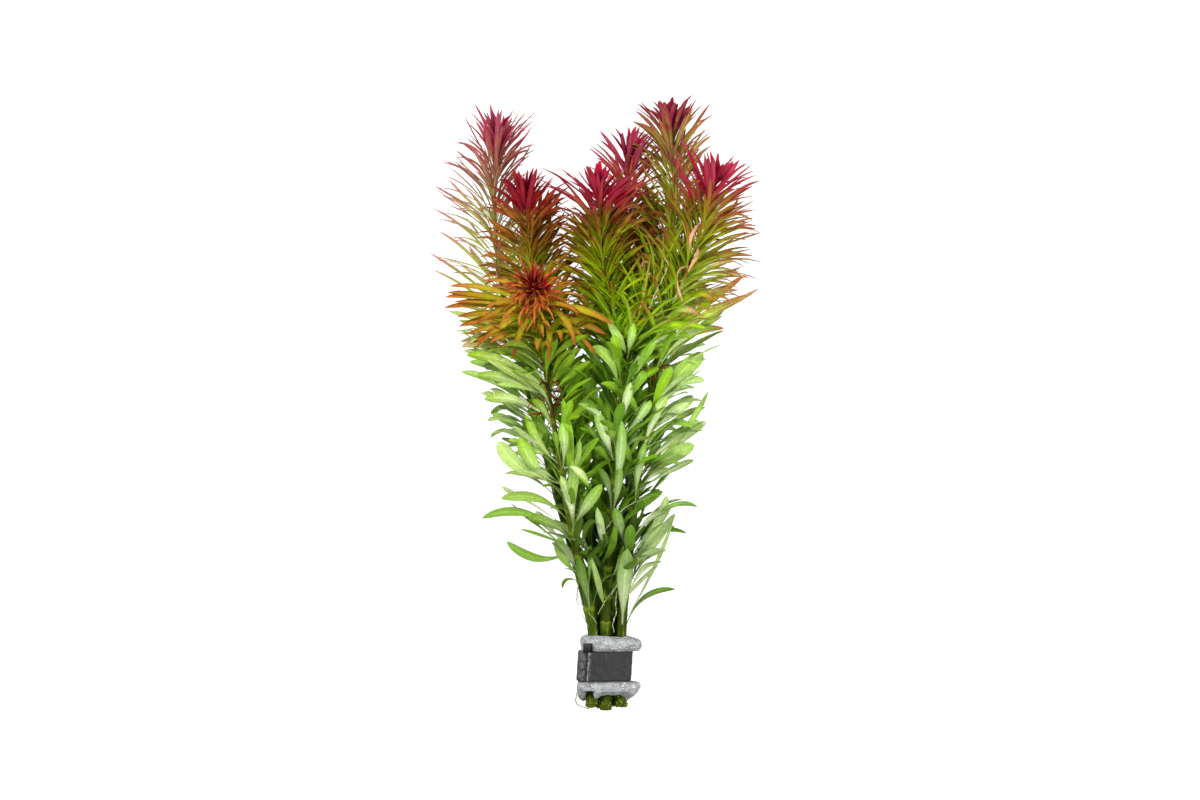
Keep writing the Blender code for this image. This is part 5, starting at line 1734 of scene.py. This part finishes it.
# Scraps of leaf at chance angles: the ranges of their length, lean from the stem at the joint and at the
# tip, roll, sway, curl, width and age, and how light they are
Scrap = namedtuple("Scrap", "length start end roll sway curl width age rim")
FIBRE, WITHERED_LEAF = table(
    Scrap,
    ((0.9, 2.0), (180, 150), (180, 120), (-60, 60), (-0.8, 0.8), (-50, 50), (0.3, 0.8), (0, 180), 0.3),
    ((4, 11), (20, 90), (60, 160), (-60, 60), (-0.6, 0.6), (-90, 90), (0.6, 1.3), (2, 9), 0.2),
)


def drawn(draw, ranges):
    """A list with each value drawn from its range."""
    return [draw.uniform(*limits) for limits in ranges]


def grow_scrap(foliage, scrap, base, along, out, draw, shape):
    length, start, end, roll, sway, curl, width, age = drawn(draw, scrap[:-1])
    rows = lay_leaf(base, along, out, Leaf(0, length, 1.0, start, end, roll), sway, curl)
    foliage.add(rows, width, NARROW_BLADE, age, draw, shape, rim=scrap.rim)


# Frayed fibres at each cut end: their count, how far out they reach as a share of the radius, and how far
# up the stem they start. Then the share of them that stand round the rim, and the same for those.
FIBRES = 100
FIBRES_REACH = 0.98
FIBRES_RISE = (0.2, 0.8)
RIM_FIBRES = 0.6
RIM_FIBRES_REACH = 1.06
RIM_FIBRES_RISE = (0.2, 5.5)

# Crumbs that have come off: their count, their middle, how far they lie from it, how they lie, their
# length and bow, and the ranges of their turn, width and age
CRUMBS = 14
CRUMB_PLACE = (-2.4, -139.6, 1.6)
CRUMB_SPREAD = ((-1.8, 1.8), (-1.2, 1.0), (-1.2, 2))
CRUMB_LEAN = ((-1, 1), (-1, 1), (-0.3, 0.3))
CRUMB_LENGTH = 1.4
CRUMB_BOW = (0, 0, 0.2)
CRUMB_LOOK = ((0, 90), (0.3, 0.7), (60, 180))


def frayed_piece(routes, material):
    """Short torn fibres round the cut ends, and crumbs beside them."""
    foliage = Foliage()
    for shoot, route in routes.values():
        draw = seeded("fray", int(shoot.name))
        foot, along, up, right = route.at(route.length)
        foot = foot - along * CUT_BEYOND[shoot.name]
        for _ in range(FIBRES):
            out = away_from(up, right, draw.uniform(0, 360))
            share, rise = math.sqrt(draw.random()) * FIBRES_REACH, draw.uniform(*FIBRES_RISE)
            if draw.random() < RIM_FIBRES:
                share, rise = RIM_FIBRES_REACH, draw.uniform(*RIM_FIBRES_RISE)
            base = foot + out * (shoot.radius * share) + along * rise
            grow_scrap(foliage, FIBRE, base, along, out, draw, FINE_SECTION)
    draw = seeded("crumb", 1)
    for _ in range(CRUMBS):
        place = Vector(CRUMB_PLACE) + Vector(drawn(draw, CRUMB_SPREAD))
        tip = place + Vector(drawn(draw, CRUMB_LEAN)).normalized() * CRUMB_LENGTH
        turn, width, age = drawn(draw, CRUMB_LOOK)
        rows = lay_single_leaf(place, tip, Vector(CRUMB_BOW), turn, 0)
        foliage.add(rows, width, NARROW_BLADE, age, draw, FINE_SECTION, rim=FIBRE.rim)
    foliage.build("frayed_ends", material, "stem_and_leaf")


# Withered leaves in the axils: shoot, the range of heights on its stem, and their count. Then the widest
# turn from straight up that they grow at.
WITHERED = (("2", (-5, 12), 34), ("4", (10, 30), 10), ("7", (0, 24), 8))
WITHERED_TURN = 100


def withered_leaves(routes, material):
    """Small brown-red leaves, curled up where they grow from the joints."""
    foliage = Foliage()
    for name, heights, count in WITHERED:
        shoot, route = routes[name]
        draw = seeded("withered", int(name))
        for _ in range(count):
            distance = route.distance_at_y(draw.uniform(*heights))
            turn = draw.uniform(-WITHERED_TURN, WITHERED_TURN)
            grow_scrap(foliage, WITHERED_LEAF, *rooted(shoot, route, distance, turn), draw, NARROW_SECTION)
    foliage.build("withered_leaves", material, "stem_and_leaf")


# Dried leaves that hang in the foliage, as the single leaves are listed, and their twist
DRIED = table(
    SingleLeaf,
    ("7", 72, (37.6, 53.4, 52), (3, 2, 8), 2.4, 30),
    ("7", 62, (38.8, 44.6, 50), (-4, 4, 8), 1.6, 70),
    ("7", 84, (43.0, 66.0, 52), (-3, 0, 8), 1.9, 20),
    ("6", 60, (20.0, 60.4, 47), (-2, 3, 6), 1.5, 20),
    ("3", 40, (-42.0, 56.0, 40), (-2, 3, 6), 2.2, 10),
)
DRIED_TWIST = 200
DRIED_SEED = 7


def dried_leaves(routes, material):
    """Pale dried leaves, folded and twisted among the others."""
    foliage = Foliage()
    for number, leaf in enumerate(DRIED):
        route = routes[leaf.shoot][1]
        draw = seeded("dried", number, DRIED_SEED)
        base = route.at(route.distance_at_y(leaf.joint_y))[0]
        rows = lay_single_leaf(base, Vector(leaf.tip), Vector(leaf.bow), leaf.turn, DRIED_TWIST)
        foliage.add(rows, leaf.width, NARROW_BLADE, draw.uniform(0, LEAF_AGES), draw, NARROW_SECTION)
    foliage.build("dried_leaves", material, "stem_and_leaf")


# Camera, straight above the bunch, in the layout's frame
CAMERA_PLACE = (1.84, 1.15, 1533.3)
CAMERA_LENS = 100
CAMERA_SENSOR = 36

# Lights, in metres and watts: name, place, width and power
LIGHTS = (("key", (-0.6, 0.6, 0.9), 0.35, 22), ("fill", (0.7, -0.1, 0.7), 0.7, 12))
SKY_LIGHT = 0.45
FLOOR_HALF = 4


def camera():
    data = bpy.data.cameras.new("camera")
    data.lens = CAMERA_LENS
    data.sensor_width = CAMERA_SENSOR
    view = bpy.data.objects.new("camera", data)
    bpy.context.scene.collection.objects.link(view)
    view.location = LAYOUT + Vector(CAMERA_PLACE) * MM
    bpy.context.scene.camera = view


def area_light(name, place, size, power):
    """A square light that points at the bunch."""
    data = bpy.data.lights.new(name, "AREA")
    data.shape = "SQUARE"
    data.size = size
    data.energy = power
    light = bpy.data.objects.new(name, data)
    light.location = place
    light.rotation_euler = (-Vector(place)).to_track_quat("-Z", "Y").to_euler()
    bpy.context.scene.collection.objects.link(light)


def studio():
    """An even white surround, two soft lights and the surface that the bunch lies on."""
    world = bpy.data.worlds.new("studio")
    bpy.context.scene.world = world
    world.use_nodes = True
    background = world.node_tree.nodes["Background"]
    background.inputs["Color"].default_value = (1, 1, 1, 1)
    background.inputs["Strength"].default_value = SKY_LIGHT
    for row in LIGHTS:
        area_light(*row)
    corners = [(x * FLOOR_HALF, y * FLOOR_HALF, 0) for x, y in ((-1, -1), (1, -1), (1, 1), (-1, 1))]
    mesh = bpy.data.meshes.new("floor")
    mesh.from_pydata(corners, [], [(0, 1, 2, 3)])
    mesh.materials.append(floor_material())
    floor = bpy.data.objects.new("floor", mesh)
    bpy.context.scene.collection.objects.link(floor)
    bpy.context.scene.view_settings.view_transform = "Standard"


camera()
studio()

routes = {shoot.name: (shoot, Route(shoot.path)) for shoot in SHOOTS}
materials = {name: shoot_material(name) for name in FLUSHES}
materials["broad"] = plain_leaf_material("broad_leaf", BROAD_UPPER, BROAD_LOOK, BROAD_UNDER_AND_SHEEN)
withered = plain_leaf_material("withered_leaf", WITHERED_UPPER, WITHERED_LOOK, WITHERED_UNDER)
dried = plain_leaf_material("dried_leaf", DRIED_LEAF, DRIED_LOOK)
fibre = plain_leaf_material("torn_fibre", TORN_FIBRE, FIBRE_LOOK)
dark_stem = stem_material("dark_stem", DARK_STEM)
light_stem = stem_material("light_stem", LIGHT_STEM)
stem_looks = {"1": stem_material("brown_stem", BROWN_STEM), "5": light_stem, "6": light_stem}
lead = lead_material()

for shoot, route in routes.values():
    stem_piece(shoot, route, stem_looks.get(shoot.name, dark_stem))
    shoot_leaves(shoot, route, materials)
sheath_pieces(*routes["6"], dark_stem)
withered_leaves(routes, withered)
dried_leaves(routes, dried)
frayed_piece(routes, fibre)
thread_pieces(root_material())
foam_piece(foam_material())
strip_piece(lead)
tab_piece(lead)
